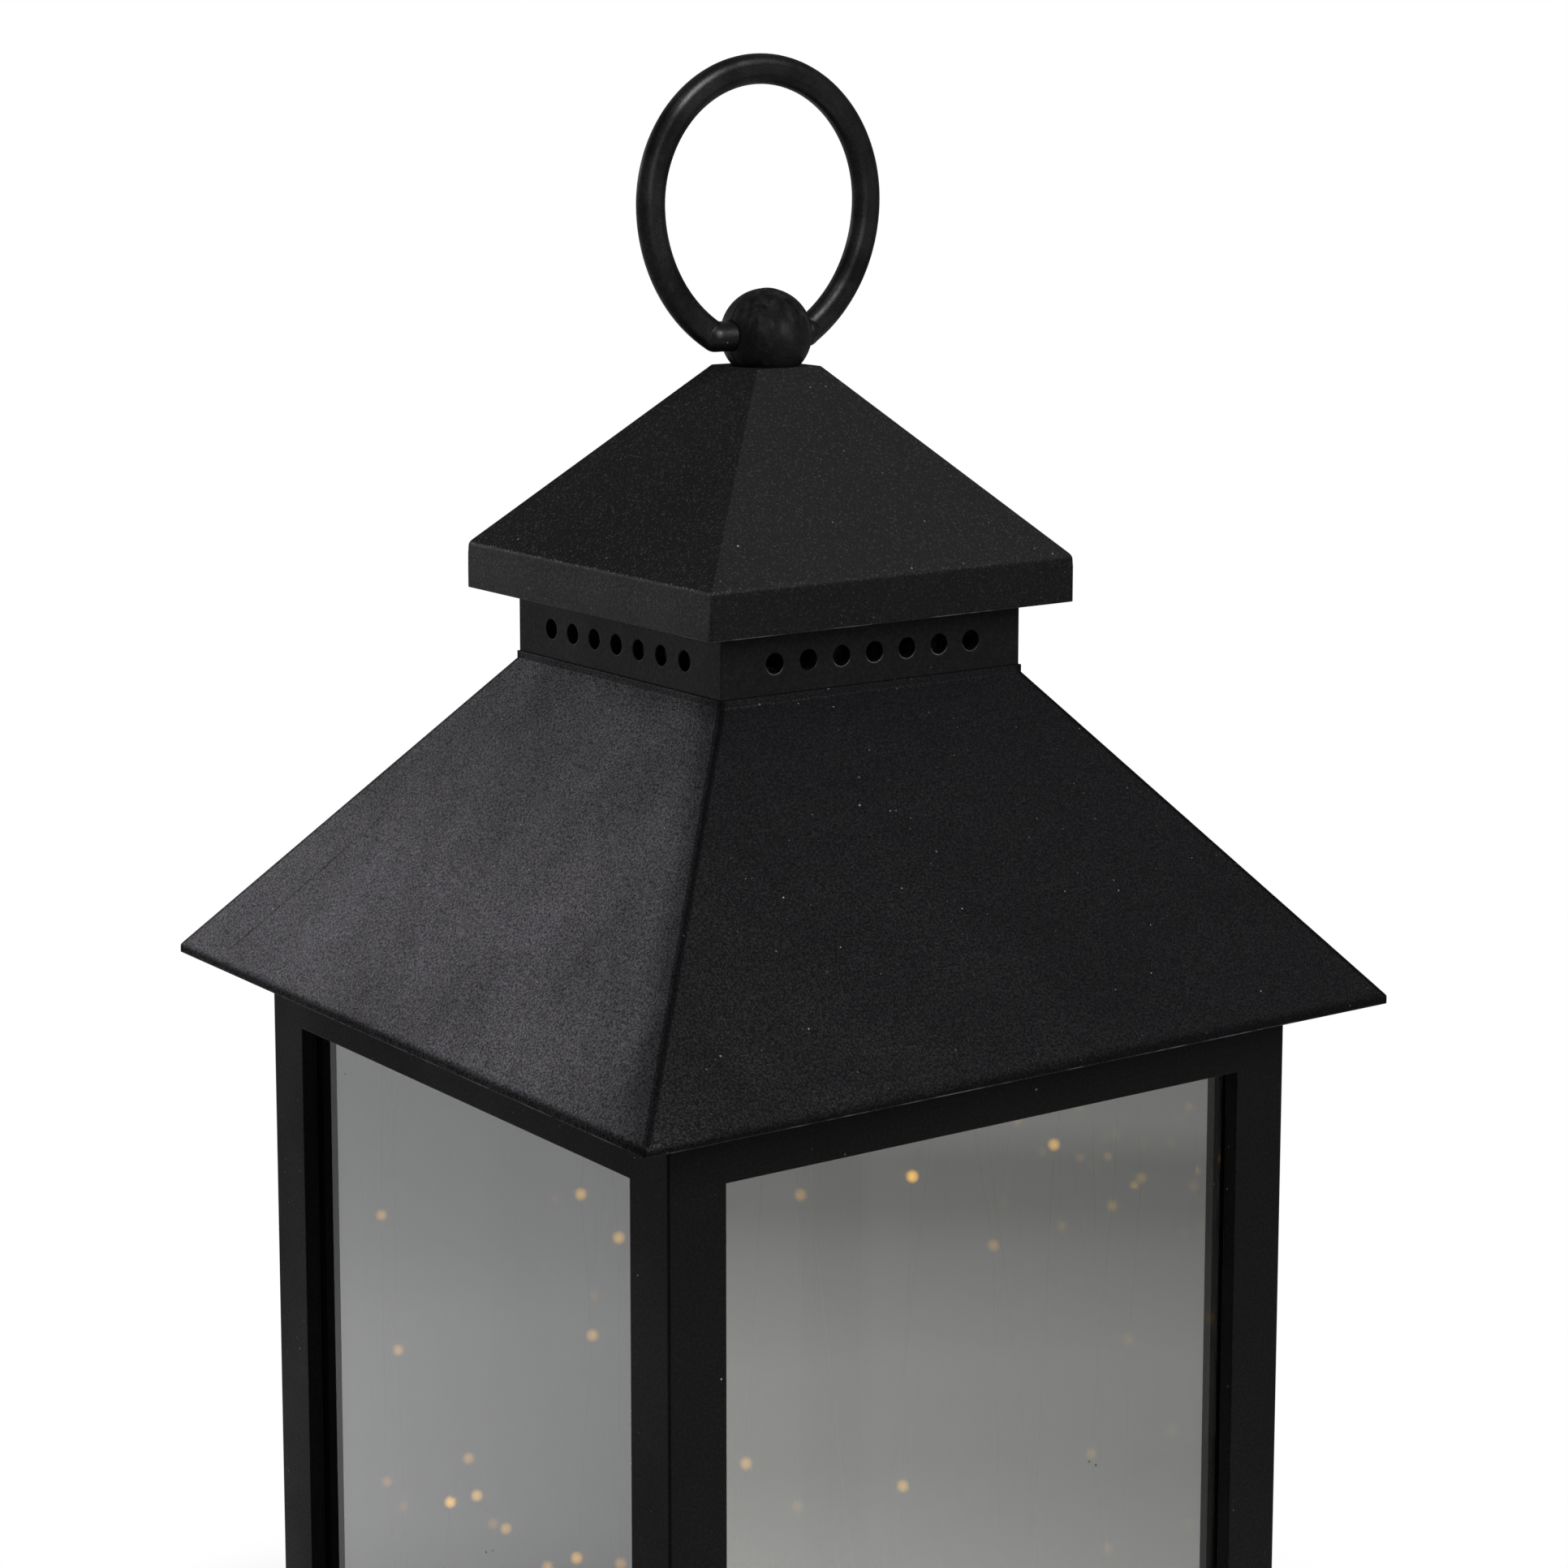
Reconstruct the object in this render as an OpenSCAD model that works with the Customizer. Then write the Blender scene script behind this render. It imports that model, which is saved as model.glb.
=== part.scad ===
// Lantern with four mirrored panes, a hipped roof, a vented collar, a pyramid cap and a carrying ring.
// Frame: +Z up, origin on the ground under the middle of the base, front face towards -Y.
// The ring swings about the X axis through the ball; the battery door and the switch are under the base.

/* [Body] */
// Outer width over the four side frames
body_w = 118; // [100:0.5:140]
// Visible height of the side frames, base curb to eave
body_h = 142; // [110:1:200]
// Width of the frame border seen around each pane
border_w = 9.9; // [7:0.1:14]
// Depth from the frame's face to the pane
reveal = 2.6; // [1.5:0.1:3]
// Thickness of the frame border, front to back
frame_t = 6; // [5.5:0.1:8]
// Rounding of the four upright corner edges
corner_r = 0.5; // [0.2:0.1:1.5]
// Thickness of each mirrored pane
pane_t = 1.5; // [1.2:0.1:2.5]
// How far each pane reaches behind its frame
pane_lap = 1.4; // [0.8:0.1:2]
// Gap between the body frames and whatever they stand in
seat_gap = 0.15; // [0.05:0.05:0.4]
// Gap along each mitred corner seam
seam_gap = 0.15; // [0.05:0.05:0.3]

/* [Base] */
// How far the base stands out from the body on each side
base_out = 10; // [7:0.5:16]
// Height of the rubber feet under the base
foot_h = 2; // [1.5:0.1:4]
// Diameter of a rubber foot
foot_d = 12; // [8:0.5:16]
// Height of the upright lip around the base
base_lip = 4; // [2:0.5:8]
// Height of the base from its lip's lower edge to the top of the curb
base_h = 22; // [20:0.5:32]
// Height of the curb that stands around the side frames
curb_h = 3; // [2:0.5:5]
// Width of the curb's top edge
curb_t = 2.4; // [1.6:0.1:4]
// Wall of the base and roof mouldings
wall = 2; // [1.6:0.1:2.6]

/* [Roof] */
// How far the eave stands out from the body on each side
eave_out = 11.5; // [8:0.5:24]
// Height of the eave's upright edge, before it is rounded
eave_t = 0.9; // [0.7:0.1:1.6]
// Rounding between the eave's edge and the slope, where the edge is high enough for it
eave_round = 2.4; // [1:0.1:2.6]
// Height of the roof's top deck above the eave
roof_rise = 52.6; // [40:0.2:70]
// Width of the roof's top deck
deck_w = 58; // [50:0.5:66]
// Height of the upright band around the top deck
band_h = 1.2; // [0.6:0.1:3]
// How far the closing plate sits above the eave's lower edge
soffit_in = 1.3; // [1:0.1:3]

/* [Vent collar] */
// Outer width of the vented collar
collar_w = 57.5; // [48:0.5:57.5]
// Height of the collar seen between the roof and the cap
collar_h = 10.3; // [8:0.1:14]
// Wall of the collar
collar_wall = 1.8; // [1.4:0.1:2.2]
// Diameter of a vent hole
vent_d = 3.25; // [2:0.05:4.5]
// Spacing of the vent holes
vent_pitch = 6.3; // [5:0.1:7.2]
// Vent holes in each side
vents = 7; // [3:2:7]
// Height of the vent holes above the roof's deck
vent_up = 4.8; // [3.5:0.1:6]

/* [Cap] */
// Width of the cap's rim
cap_w = 69.9; // [66:0.1:80]
// Height of the cap's upright rim
rim_h = 7.3; // [4:0.1:10]
// Height of the cap's slope above the rim
cap_rise = 29.4; // [22:0.2:40]
// Width of the small flat on top of the cap
cap_top_w = 12.4; // [11:0.1:16]
// Rounding between the cap's rim and its slope
cap_round = 1.5; // [0.8:0.1:2.5]
// Wall of the cap
cap_wall = 1.8; // [1.4:0.1:2.2]

/* [Ball and ring] */
// Diameter of the ball
ball_d = 14.6; // [13.6:0.1:18]
// Height of the ball's middle above the cap's flat
ball_up = 4.95; // [4.6:0.05:6]
// Diameter of the pins that turn in the ball
pin_d = 4.8; // [4:0.1:5]
// Wall left in the ball between the bottoms of the two pin bores
bore_wall = 5; // [4.4:0.2:6]
// Radial running gap of the pins
pin_gap = 0.06; // [0.03:0.01:0.1]
// Radius of the ring's upper half, to the middle of the rod
ring_r = 20.8; // [18:0.1:26]
// Radius of the ring's flatter lower quarters
ring_low_r = 24.2; // [24:0.1:30]
// Height of the ring's widest point above the pins
ring_up = 20.9; // [18:0.1:22]
// Thickness of the ring seen from the front
ring_t = 4.8; // [4:0.1:6]
// Thickness of the ring seen from the side
ring_side = 3.2; // [2.4:0.1:4]
// Sideways play taken up by the ring at rest
ring_shift = -1.1; // [-1.1:0.1:0]

/* [Battery bay] */
// Diameter of a battery
cell_d = 10.3; // [10:0.1:10.6]
// Length of a battery with its nub
cell_l = 44.5; // [43:0.1:45]
// Spacing of the batteries
cell_pitch = 11.3; // [11:0.1:13]
// Length left for a contact spring
spring_l = 4.2; // [3:0.1:6]
// Wall of the battery tray
tray_wall = 1.6; // [1.2:0.1:2]
// Thickness of the battery door
door_t = 1.8; // [1.4:0.1:2]
// Gap around the battery door
door_gap = 0.3; // [0.2:0.05:0.5]
// Diameter of the door's hinge pins
hinge_d = 2; // [1.6:0.1:2.4]
// Radial running gap of the hinge pins
hinge_gap = 0.06; // [0.03:0.01:0.1]

/* [Switch] */
// Travel of the switch knob over its three places
switch_travel = 5; // [3:0.1:6]
// Width of the switch knob's grip
knob_w = 3.6; // [3:0.1:5]
// Depth of the switch knob's grip
knob_d = 2.8; // [2:0.1:4]

/* [Lights] */
// Diameter of the light wire
wire_d = 0.5; // [0.4:0.1:0.8]
// Diameter of a light bead
bead_d = 2.4; // [2:0.1:4]

/* [Hidden] */
$fn = 64;

// Over-travel of cutting solids past the faces that they cut
cut = 1;

// Heights, from the ground up
base_z = foot_h;
floor_z = base_z + base_h - curb_h;
curb_z = base_z + base_h;
eave_z = curb_z + body_h;
soffit_z = eave_z + soffit_in;
deck_z = eave_z + roof_rise;
rim_z = deck_z + collar_h;
slope_z = rim_z + rim_h;
cap_z = slope_z + cap_rise;
pin_z = cap_z + ball_up;

// Body
body_r = body_w / 2;
curb_in = body_r + seat_gap;
curb_out = curb_in + curb_t;
window_r = body_r - border_w;
window_lo = curb_z + border_w;
// The top rail shows a little more than the other borders
rail_extra = 0.5;
window_hi = eave_z - border_w - rail_extra;
window_h = window_hi - window_lo;
pane_r = window_r + pane_lap;
pane_play = 0.2;
// Tabs that key each frame into the base and the closing plate
tab_w = 14;
tab_t = 2.4;
tab_h = 3.2;
tab_off = body_r / 2;
tab_in = 1.4;
// Snap hooks behind each pane
snap_w = 6;
snap_lap = 0.8;
snap_gap = 0.15;

// Screws: their threads, the holes that they bite into and the heads
thread_d = 2.8;
thread_hole = 2.9;
screw_hole = 3.4;
head_d = 5.4;
head_h = 1.4;
// Length of thread in the boss, and the spare depth of its hole
thread_in = 8;
thread_spare = 3;
boss_d = 8;
// Length of a small screw's point, and the size of its cross recess
cross_w = 2.6;
cross_t = 0.7;

// Base
base_r = body_r + base_out;
shoulder_drop = 1;
shoulder_z = curb_z - curb_h - shoulder_drop;
plate_t = 2;
plate_z = base_z + plate_t;
plate_gap = 0.3;
base_in = base_r - wall;
plate_r = base_in - plate_gap;
foot_inset = 2;
foot_at = base_in - foot_d / 2 - foot_inset;
foot_bevel = 0.6;
foot_sink = 0.6;
foot_gap = 0.1;
base_screw_at = foot_at - 9;
plate_round = 1;

// Roof
roof_r = body_r + eave_out;
deck_r = deck_w / 2;
edge_z = eave_z + eave_t;
band_z = deck_z - band_h;
roof_pitch = atan2(band_z - edge_z, roof_r - deck_r);
// What stays upright of the eave's edge under the rounding
edge_left = 0.05;
eave_arc_r = min(eave_round, (eave_t - edge_left) / tan(45 - roof_pitch / 2));
ceiling_t = 2;
soffit_gap = 0.6;
roof_in_shift = wall / sin(roof_pitch);
// Half width of the roof's hollow at height z, moved outwards by out
function roof_in_x(z, out = 0) = roof_r - roof_in_shift - (z - edge_z) / tan(roof_pitch) + out;
soffit_r = roof_in_x(soffit_z + ceiling_t) - soffit_gap;
// Upright ribs: around the closing plate's edge, and on the deck inside the collar
rib_t = 1.6;
rib_h = 3;
deck_rib_h = 2.1;
deck_rib_r = collar_w / 2 - collar_wall - seat_gap;
// How far ribs, posts and bosses run into what carries them
root = 0.5;
roof_screw_at = body_r - 13;
cap_screw_at = collar_w / 2 - collar_wall - 10;
vent_hole_d = 20;
web_l = 12;
web_t = 1.6;

// Cap
cap_r = cap_w / 2;
rim_draft = 0.35;
cap_top_r = cap_top_w / 2;
cap_pitch = atan2(cap_rise, cap_r - rim_draft - cap_top_r);
collar_r = collar_w / 2;
collar_round = 0.25;
collar_top = rim_z + 3;
rim_round = 0.9;
skirt_t = 1.6;
skirt_up = 0.4;

// Ring
ball_r = ball_d / 2;
pin_play = 0.1;
pin_tip = bore_wall / 2 + pin_play - ring_shift;
ring_low_x = ring_low_r - ring_r;
ring_end_a = asin(ring_up / ring_low_r);
stub_out = ring_low_r * cos(ring_end_a) - ring_low_x;
finial_screw_d = 2.8;
finial_head_d = 7;
finial_head_h = 2.2;
finial_screw_in = ball_up + 2.4;
// Raised parting line around the ball, in the plane of the ring
seam_w = 0.2;
seam_h = 0.05;

// Battery bay, its middle behind the middle of the base
bay_y = 12;
contact_t = 0.4;
contact_gap = 0.05;
contact_x = (cell_l + spring_l) / 2;
bay_r = contact_x + contact_t + contact_gap;
cell_play = 0.3;
bay_h = cell_d + 2 * cell_play + 0.3;
bay_d = 3 * cell_pitch + 0.4;
cell_z = plate_z + cell_play + cell_d / 2;
tray_r = bay_r + tray_wall;
ear_w = 7;
ear_d = 8;
ear_t = 2;
ear_up = 4;
ear_x = tray_r + ear_w / 2;
nub_d = 3.8;
nub_h = 1;
hinge_w = 2.6;
barrel_r = door_t / 2 + 1.3;
hinge_y = bay_y + bay_d / 2 + tray_wall + 4;
hinge_z = base_z + barrel_r;
hinge_room = 1;
hinge_side = 0.1;
door_r = bay_r - 0.6;
door_front = bay_y - bay_d / 2 + 0.6;
knuckle_w = 6;
latch_w = 12;
latch_t = 1.2;
latch_h = 2.2;
grip_r = 3.1;
grip_w = 12;
grip_deep = 0.9;

// Switch
switch_y = -34;
board_z = plate_z + 6.6;
board_w = 40;
board_d = 18;
board_t = 1.6;
board_post = 16;
post_d = 5;
board_screw_d = 1.8;
board_head_h = 1.2;
tray_screw_d = 1.9;
tray_head_d = 4.4;
switch_l = switch_travel + 7;
switch_w = 5.4;
switch_h = 4;
stem_w = 1.6;
stem_room = 0.2;
knob_out = 0.9;
flange = 1.2;
flange_t = 1;
flange_gap = 0.15;
slot_w = switch_travel + knob_w + 0.8;
slot_d = knob_d + 0.5;

// Light string: its plane stands string_r from the middle on all four sides. Each station is
// [side, along, height]; side -1 is the left one and they follow each other anticlockwise.
// A station at low or high is a turn on a hook, every other one is a bead.
grommet_at = [30, -30];
grommet_d = 4.8;
grommet_flange_d = 6.6;
grommet_flange_t = 0.75;
grommet_gap = 0.1;
string_r = body_r - 13;
hook_room = 3.6;
low = floor_z + hook_room;
high = soffit_z - hook_room;
stations = [
    [-1, -44.5, 76], [-1, -45, 122.5], [-1, -42, high], [-1, -40, 100.5], [-1, -39, 73.5], [-1, -33, low],
    [-1, -23.5, 79.5], [-1, -17.5, 89], [-1, -15, 83.5], [-1, -10, 80.5], [-1, -6, 81], [-1, 6.5, 79],
    [-1, 15, 83.5], [-1, 20, 121], [-1, 17, 142.5], [-1, 22, high], [-1, 27.5, 138.5], [-1, 27.5, 87],
    [-1, 34, low], [0, -37, 107], [0, -32, high], [0, -27, 146.5], [0, -27.5, 98], [0, -17, low],
    [0, -7.5, 96.5], [0, -6, 145.5], [0, 2, high], [0, 10, 131.5], [0, 15, low], [0, 22, 145.5],
    [0, 28, high], [0, 37, low], [1, -37, 106], [1, -39.5, 134], [1, -36, high], [1, -32.5, 127.5],
    [1, -28, 83.5], [1, -32.5, 68.5], [1, -24, low], [1, 8, high], [1, 34, low], [2, -34, high],
    [2, -19, 118], [2, -14, low], [2, -8, 92], [2, -10, 132], [2, 2, high]
];
// Route of the wire from the board up through the grommet and over the floor to the first station
lead_in = [
    [12, -32, board_z + 2.2], [18, -31.5, board_z + 4], [30, -30, floor_z - 4], [30, -30, floor_z + 2.4],
    [26, -27, floor_z + 1.6], [-20, 10, floor_z + 0.7], [-42, 42, floor_z + 0.8]
];
hook_t = 1.6;
hook_reach = 2.4;
hook_pin_d = 1;
// Radius of the wire's turn round a hook's pin
turn_r = 1.15;

function is_hook(s) = s[2] == low || s[2] == high;
// Point on a side's plane, along from the side's middle
function on_side(side, along, z) =
    let (a = 90 * side) [along * cos(a) + string_r * sin(a), along * sin(a) - string_r * cos(a), z];
function half_turn(s) = [for (a = [-90, 0, 90])
    on_side(s[0], s[1] + turn_r * sin(a), s[2] + (s[2] == high ? 1 : -1) * turn_r * cos(a))];
function bead_place(s) = on_side(s[0], s[1], s[2]);
wire_path = concat(lead_in, [for (s = stations) each (is_hook(s) ? half_turn(s) : [bead_place(s)])]);
bead_points = [for (s = stations) if (!is_hook(s)) bead_place(s)];

function unit(v) = v / norm(v);

// Corner b of an outline, between a and c, as an arc of radius r
function rounded(a, b, c, r, steps = 6) =
    let (u = unit(a - b), v = unit(c - b), half = acos(u * v) / 2,
        middle = b + unit(u + v) * r / sin(half),
        start = b + u * r / tan(half) - middle,
        end = b + v * r / tan(half) - middle,
        from = atan2(start[1], start[0]),
        to = atan2(end[1], end[0]))
    [for (i = [0:steps])
        let (t = from + (to - from) * i / steps) middle + r * [cos(t), sin(t)]];

function flip(points) = [for (i = [len(points) - 1:-1:0]) [-points[i][0], points[i][1]]];

// Square-plan solid whose four sides all follow one half profile of [half width, height] points
module hipped(points) {
    outline = concat(points, flip(points));
    reach = 3 * max([for (p = points) p[0]]);
    intersection() {
        rotate([90, 0, 0])
            linear_extrude(reach, center = true)
                polygon(outline);
        rotate([90, 0, 90])
            linear_extrude(reach, center = true)
                polygon(outline);
    }
}

// Upright square bar with rounded edges, standing on z = 0
module square_bar(r, round_r, h) {
    linear_extrude(h) {
        square([2 * r, 2 * (r - round_r)], center = true);
        square([2 * (r - round_r), 2 * r], center = true);
        for (x = [-1, 1], y = [-1, 1])
            translate([x * (r - round_r), y * (r - round_r)])
                circle(round_r);
    }
}

// Square ring, outer and inner half widths, standing on z = 0
module square_ring(outer, inner, h) {
    difference() {
        translate([-outer, -outer, 0])
            cube([2 * outer, 2 * outer, h]);
        translate([-inner, -inner, -cut])
            cube([2 * inner, 2 * inner, h + 2 * cut]);
    }
}

// Children at the four corners of a square
module corners(at) {
    for (x = [-1, 1], y = [-1, 1])
        translate([x * at, y * at, 0])
            children();
}

// Pan-head screw, head down: head from z = 0 to its rise, shank upwards
module screw(d, head, rise, length, drive = cross_w) {
    bevel = 0.45 * rise;
    difference() {
        union() {
            cylinder(d = head, h = rise - bevel);
            translate([0, 0, rise - bevel])
                cylinder(d1 = head, d2 = head - 0.6, h = bevel);
            cylinder(d = d, h = rise + length - d / 2);
            translate([0, 0, rise + length - d / 2])
                cylinder(d1 = d, d2 = 0.5, h = d / 2);
        }
        for (a = [0, 90])
            rotate([0, 0, a])
                translate([-drive / 2, -cross_t / 2, -cut])
                    cube([drive, cross_t, cut + bevel]);
    }
}

// ---- Ring and ball ----

// Section of the ring's rod, flattened from front to back
module rod_section() {
    square([ring_t - ring_side, ring_side], center = true);
    for (x = [-1, 1])
        translate([x * (ring_t - ring_side) / 2, 0])
            circle(ring_side / 2);
}

module carry_ring() {
    color([0.09, 0.09, 0.09])
    translate([ring_shift, 0, pin_z]) {
        translate([0, 0, ring_up])
            rotate([90, 0, 0])
                rotate_extrude(angle = 180)
                    translate([ring_r, 0])
                        rod_section();
        for (side = [0, 1])
            mirror([side, 0, 0]) {
                translate([-ring_low_x, 0, ring_up])
                    rotate([90, 0, 0])
                        rotate_extrude(start = -ring_end_a, angle = ring_end_a)
                            translate([ring_low_r, 0])
                                rod_section();
                translate([pin_tip, 0, 0])
                    rotate([0, 90, 0])
                        cylinder(d = pin_d, h = stub_out - pin_tip);
                translate([stub_out, 0, 0])
                    sphere(d = pin_d);
            }
    }
}

module ball_finial() {
    color([0.1, 0.1, 0.1])
    difference() {
        intersection() {
            translate([0, 0, pin_z]) {
                sphere(ball_r);
                rotate([90, 0, 0])
                    cylinder(r = ball_r + seam_h, h = seam_w, center = true);
            }
            translate([-ball_d, -ball_d, cap_z])
                cube([2 * ball_d, 2 * ball_d, 2 * ball_d]);
        }
        for (side = [0, 1])
            mirror([side, 0, 0])
                translate([bore_wall / 2, 0, pin_z])
                    rotate([0, 90, 0])
                        cylinder(d = pin_d + 2 * pin_gap, h = ball_r);
        translate([0, 0, cap_z - cut])
            cylinder(d = finial_screw_d + 0.1, h = cut + finial_screw_in + 0.6);
    }
}

module finial_screw() {
    color([0.6, 0.6, 0.62])
    translate([0, 0, cap_z - cap_wall - finial_head_h])
        screw(finial_screw_d, finial_head_d, finial_head_h, cap_wall + finial_screw_in, 3.4);
}

// ---- Cap ----

// Half profile of the cap's outside
cap_outside = concat(
    [[cap_r, rim_z]],
    rounded([cap_r, rim_z], [cap_r - rim_draft, slope_z], [cap_top_r, cap_z], cap_round),
    [[cap_top_r, cap_z]]
);
cap_inner_x = cap_r - cap_wall;
cap_inner_z = slope_z + (cap_wall - rim_draft - cap_wall / sin(cap_pitch)) * tan(cap_pitch);
cap_inner_top = cap_top_r + cap_wall / tan(cap_pitch) - cap_wall / sin(cap_pitch);

// Half profile inside the cap, moved outwards by out and with its open end at low_z
function cap_hollow(out, low_z) = [
    [cap_inner_x + out, low_z], [cap_inner_x + out, cap_inner_z],
    [cap_inner_top + out, cap_z - cap_wall + out / 2]
];

module cap_shell() {
    color([0.1, 0.1, 0.1])
    difference() {
        union() {
            difference() {
                intersection() {
                    hipped(cap_outside);
                    translate([0, 0, rim_z])
                        square_bar(cap_r, rim_round, cap_z - rim_z + cut);
                }
                hipped(cap_hollow(0, rim_z - cut));
            }
            intersection() {
                hipped(cap_hollow(root, rim_z - cut));
                union() {
                    // Rib that the collar's top edge stops against, with a skirt outside the collar
                    translate([0, 0, collar_top])
                        square_ring(collar_r + skirt_t, collar_r - collar_wall, cap_rise);
                    translate([0, 0, rim_z + skirt_up])
                        square_ring(collar_r + skirt_t, collar_r + seat_gap, cap_rise);
                }
            }
            intersection() {
                hipped(cap_hollow(root, deck_z - cut));
                corners(cap_screw_at)
                    translate([0, 0, deck_z])
                        cylinder(d = boss_d - 1, h = cap_z - deck_z);
            }
        }
        translate([0, 0, cap_z - 2 * cap_wall])
            cylinder(d = screw_hole, h = 2 * cap_wall + cut);
        corners(cap_screw_at)
            translate([0, 0, deck_z - cut])
                cylinder(d = thread_hole, h = cut + thread_in + thread_spare);
    }
}

module vent_collar() {
    color([0.08, 0.08, 0.08])
    difference() {
        translate([0, 0, deck_z])
            difference() {
                square_bar(collar_r, collar_round, collar_top - deck_z);
                translate([0, 0, -cut])
                    square_bar(collar_r - collar_wall, collar_round, collar_top - deck_z + 2 * cut);
            }
        for (turn = [0, 90], i = [0:vents - 1])
            rotate([0, 0, turn])
                translate([(i - (vents - 1) / 2) * vent_pitch, 0, deck_z + vent_up])
                    rotate([90, 0, 0])
                        cylinder(d = vent_d, h = collar_w + 2 * cut, center = true);
    }
}

// ---- Roof ----

// Half profile of the roof's outside: upright edge, rounded turn, straight slope and the deck's band
roof_outside = concat(
    [[roof_r, eave_z]],
    rounded([roof_r, eave_z], [roof_r, edge_z], [deck_r, band_z], eave_arc_r),
    [[deck_r, band_z], [deck_r, deck_z]]
);
roof_in_top = deck_z - wall;

// Half profile inside the roof, moved outwards by out and with its open end at low_z
function roof_hollow(out, low_z) =
    [[roof_in_x(low_z, out), low_z], [roof_in_x(roof_in_top, out), roof_in_top + out / 2]];

module roof_shell() {
    color([0.17, 0.16, 0.18])
    difference() {
        union() {
            difference() {
                intersection() {
                    hipped(roof_outside);
                    translate([0, 0, eave_z])
                        square_bar(roof_r, rim_round, roof_rise + cut);
                }
                hipped(roof_hollow(0, eave_z - cut));
            }
            // Rib on the deck that locates the collar from inside
            translate([0, 0, deck_z - root])
                square_ring(deck_rib_r, deck_rib_r + seat_gap - rib_t, deck_rib_h + root);
            // Posts for the closing plate's screws, and webs that tie them to the slope
            intersection() {
                hipped(roof_hollow(2 * root, eave_z));
                union() {
                    corners(roof_screw_at)
                        translate([0, 0, soffit_z + ceiling_t])
                            cylinder(d = boss_d, h = roof_rise);
                    for (turn = [45:90:315])
                        rotate([0, 0, turn])
                            translate([roof_screw_at * sqrt(2), -web_t / 2, soffit_z + ceiling_t + rib_h + 1])
                                cube([web_l, web_t, roof_rise]);
                }
            }
        }
        translate([0, 0, deck_z - 2 * wall])
            cylinder(d = vent_hole_d, h = 4 * wall);
        corners(cap_screw_at)
            translate([0, 0, deck_z - 2 * wall])
                cylinder(d = screw_hole, h = 4 * wall);
        corners(roof_screw_at)
            translate([0, 0, soffit_z])
                cylinder(d = thread_hole, h = ceiling_t + thread_in + thread_spare);
    }
}

module cap_screws() {
    color([0.6, 0.6, 0.62])
    corners(cap_screw_at)
        translate([0, 0, deck_z - wall - head_h])
            screw(thread_d, head_d, head_h, wall + thread_in);
}

module ceiling_screws() {
    color([0.6, 0.6, 0.62])
    corners(roof_screw_at)
        translate([0, 0, soffit_z - head_h])
            screw(thread_d, head_d, head_h, ceiling_t + thread_in);
}

// Slots for the frames' tabs, through a plate that lies around z = 0
module tab_slots(depth) {
    for (turn = [0:90:270], x = [-1, 1])
        rotate([0, 0, turn])
            translate([x * tab_off - tab_w / 2 - seat_gap, -body_r + tab_in - seat_gap, -depth / 2])
                cube([tab_w + 2 * seat_gap, tab_t + 2 * seat_gap, depth]);
}

// Hooks that the light string turns on, down from the ceiling or up from the floor
module wire_hooks(at) {
    root_z = at == low ? floor_z - root : soffit_z + root;
    tip_z = at + (at == low ? 1 : -1) * hook_t / 2;
    for (s = stations)
        if (s[2] == at)
            rotate([0, 0, 90 * s[0]])
                translate([s[1], -string_r, 0]) {
                    translate([-hook_t / 2, hook_reach, min(root_z, tip_z)])
                        cube([hook_t, hook_t, abs(tip_z - root_z)]);
                    translate([0, -hook_t / 2, at])
                        rotate([-90, 0, 0])
                            cylinder(d = hook_pin_d, h = hook_reach + hook_t);
                }
}

module ceiling_plate() {
    color([0.07, 0.07, 0.07])
    difference() {
        union() {
            translate([-soffit_r, -soffit_r, soffit_z])
                cube([2 * soffit_r, 2 * soffit_r, ceiling_t]);
            // Upright stiffening rib around the edge
            translate([0, 0, soffit_z + ceiling_t - root])
                square_ring(body_r - frame_t, body_r - frame_t - rib_t, rib_h + root);
            wire_hooks(high);
        }
        translate([0, 0, soffit_z])
            tab_slots(4 * ceiling_t);
        corners(roof_screw_at)
            translate([0, 0, soffit_z - cut])
                cylinder(d = screw_hole, h = ceiling_t + 2 * cut);
    }
}

// ---- Side frames and panes ----

// One frame in the front place; four meet at mitred corners
module side_frame() {
    face = body_r - seam_gap / 2;
    difference() {
        union() {
            intersection() {
                translate([0, 0, floor_z])
                    linear_extrude(soffit_z - floor_z)
                        polygon([
                            [-face, -body_r], [face, -body_r],
                            [face - frame_t, frame_t - body_r], [frame_t - face, frame_t - body_r]
                        ]);
                translate([0, 0, floor_z])
                    square_bar(body_r, corner_r, soffit_z - floor_z);
            }
            for (x = [-1, 1])
                translate([x * tab_off - tab_w / 2, -body_r + tab_in, floor_z - tab_h])
                    cube([tab_w, tab_t, soffit_z - floor_z + 2 * tab_h]);
        }
        translate([-window_r, -body_r - cut, window_lo])
            cube([2 * window_r, frame_t + 2 * cut, window_h]);
        translate([-pane_r - pane_play, reveal - body_r, window_lo - pane_lap - pane_play])
            cube([2 * (pane_r + pane_play), frame_t, window_h + 2 * (pane_lap + pane_play)]);
    }
    // Snap hooks that hold the pane from behind
    hook_y = reveal + pane_t + snap_gap;
    for (x = [0, 1], share = [0.2, 0.5, 0.8])
        mirror([x, 0, 0])
            translate([0, hook_y - body_r, window_lo + share * window_h - snap_w / 2])
                linear_extrude(snap_w)
                    polygon([
                        [pane_r + pane_play + root, 0], [pane_r - snap_lap, 0],
                        [pane_r + pane_play + root, frame_t - hook_y]
                    ]);
}

module side_pane() {
    translate([-pane_r, reveal - body_r, window_lo - pane_lap])
        cube([2 * pane_r, pane_t, window_h + 2 * pane_lap]);
}

module frame_front() {
    color([0.1, 0.1, 0.1])
        side_frame();
}

module frame_right() {
    color([0.1, 0.1, 0.1])
        rotate([0, 0, 90])
            side_frame();
}

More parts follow.
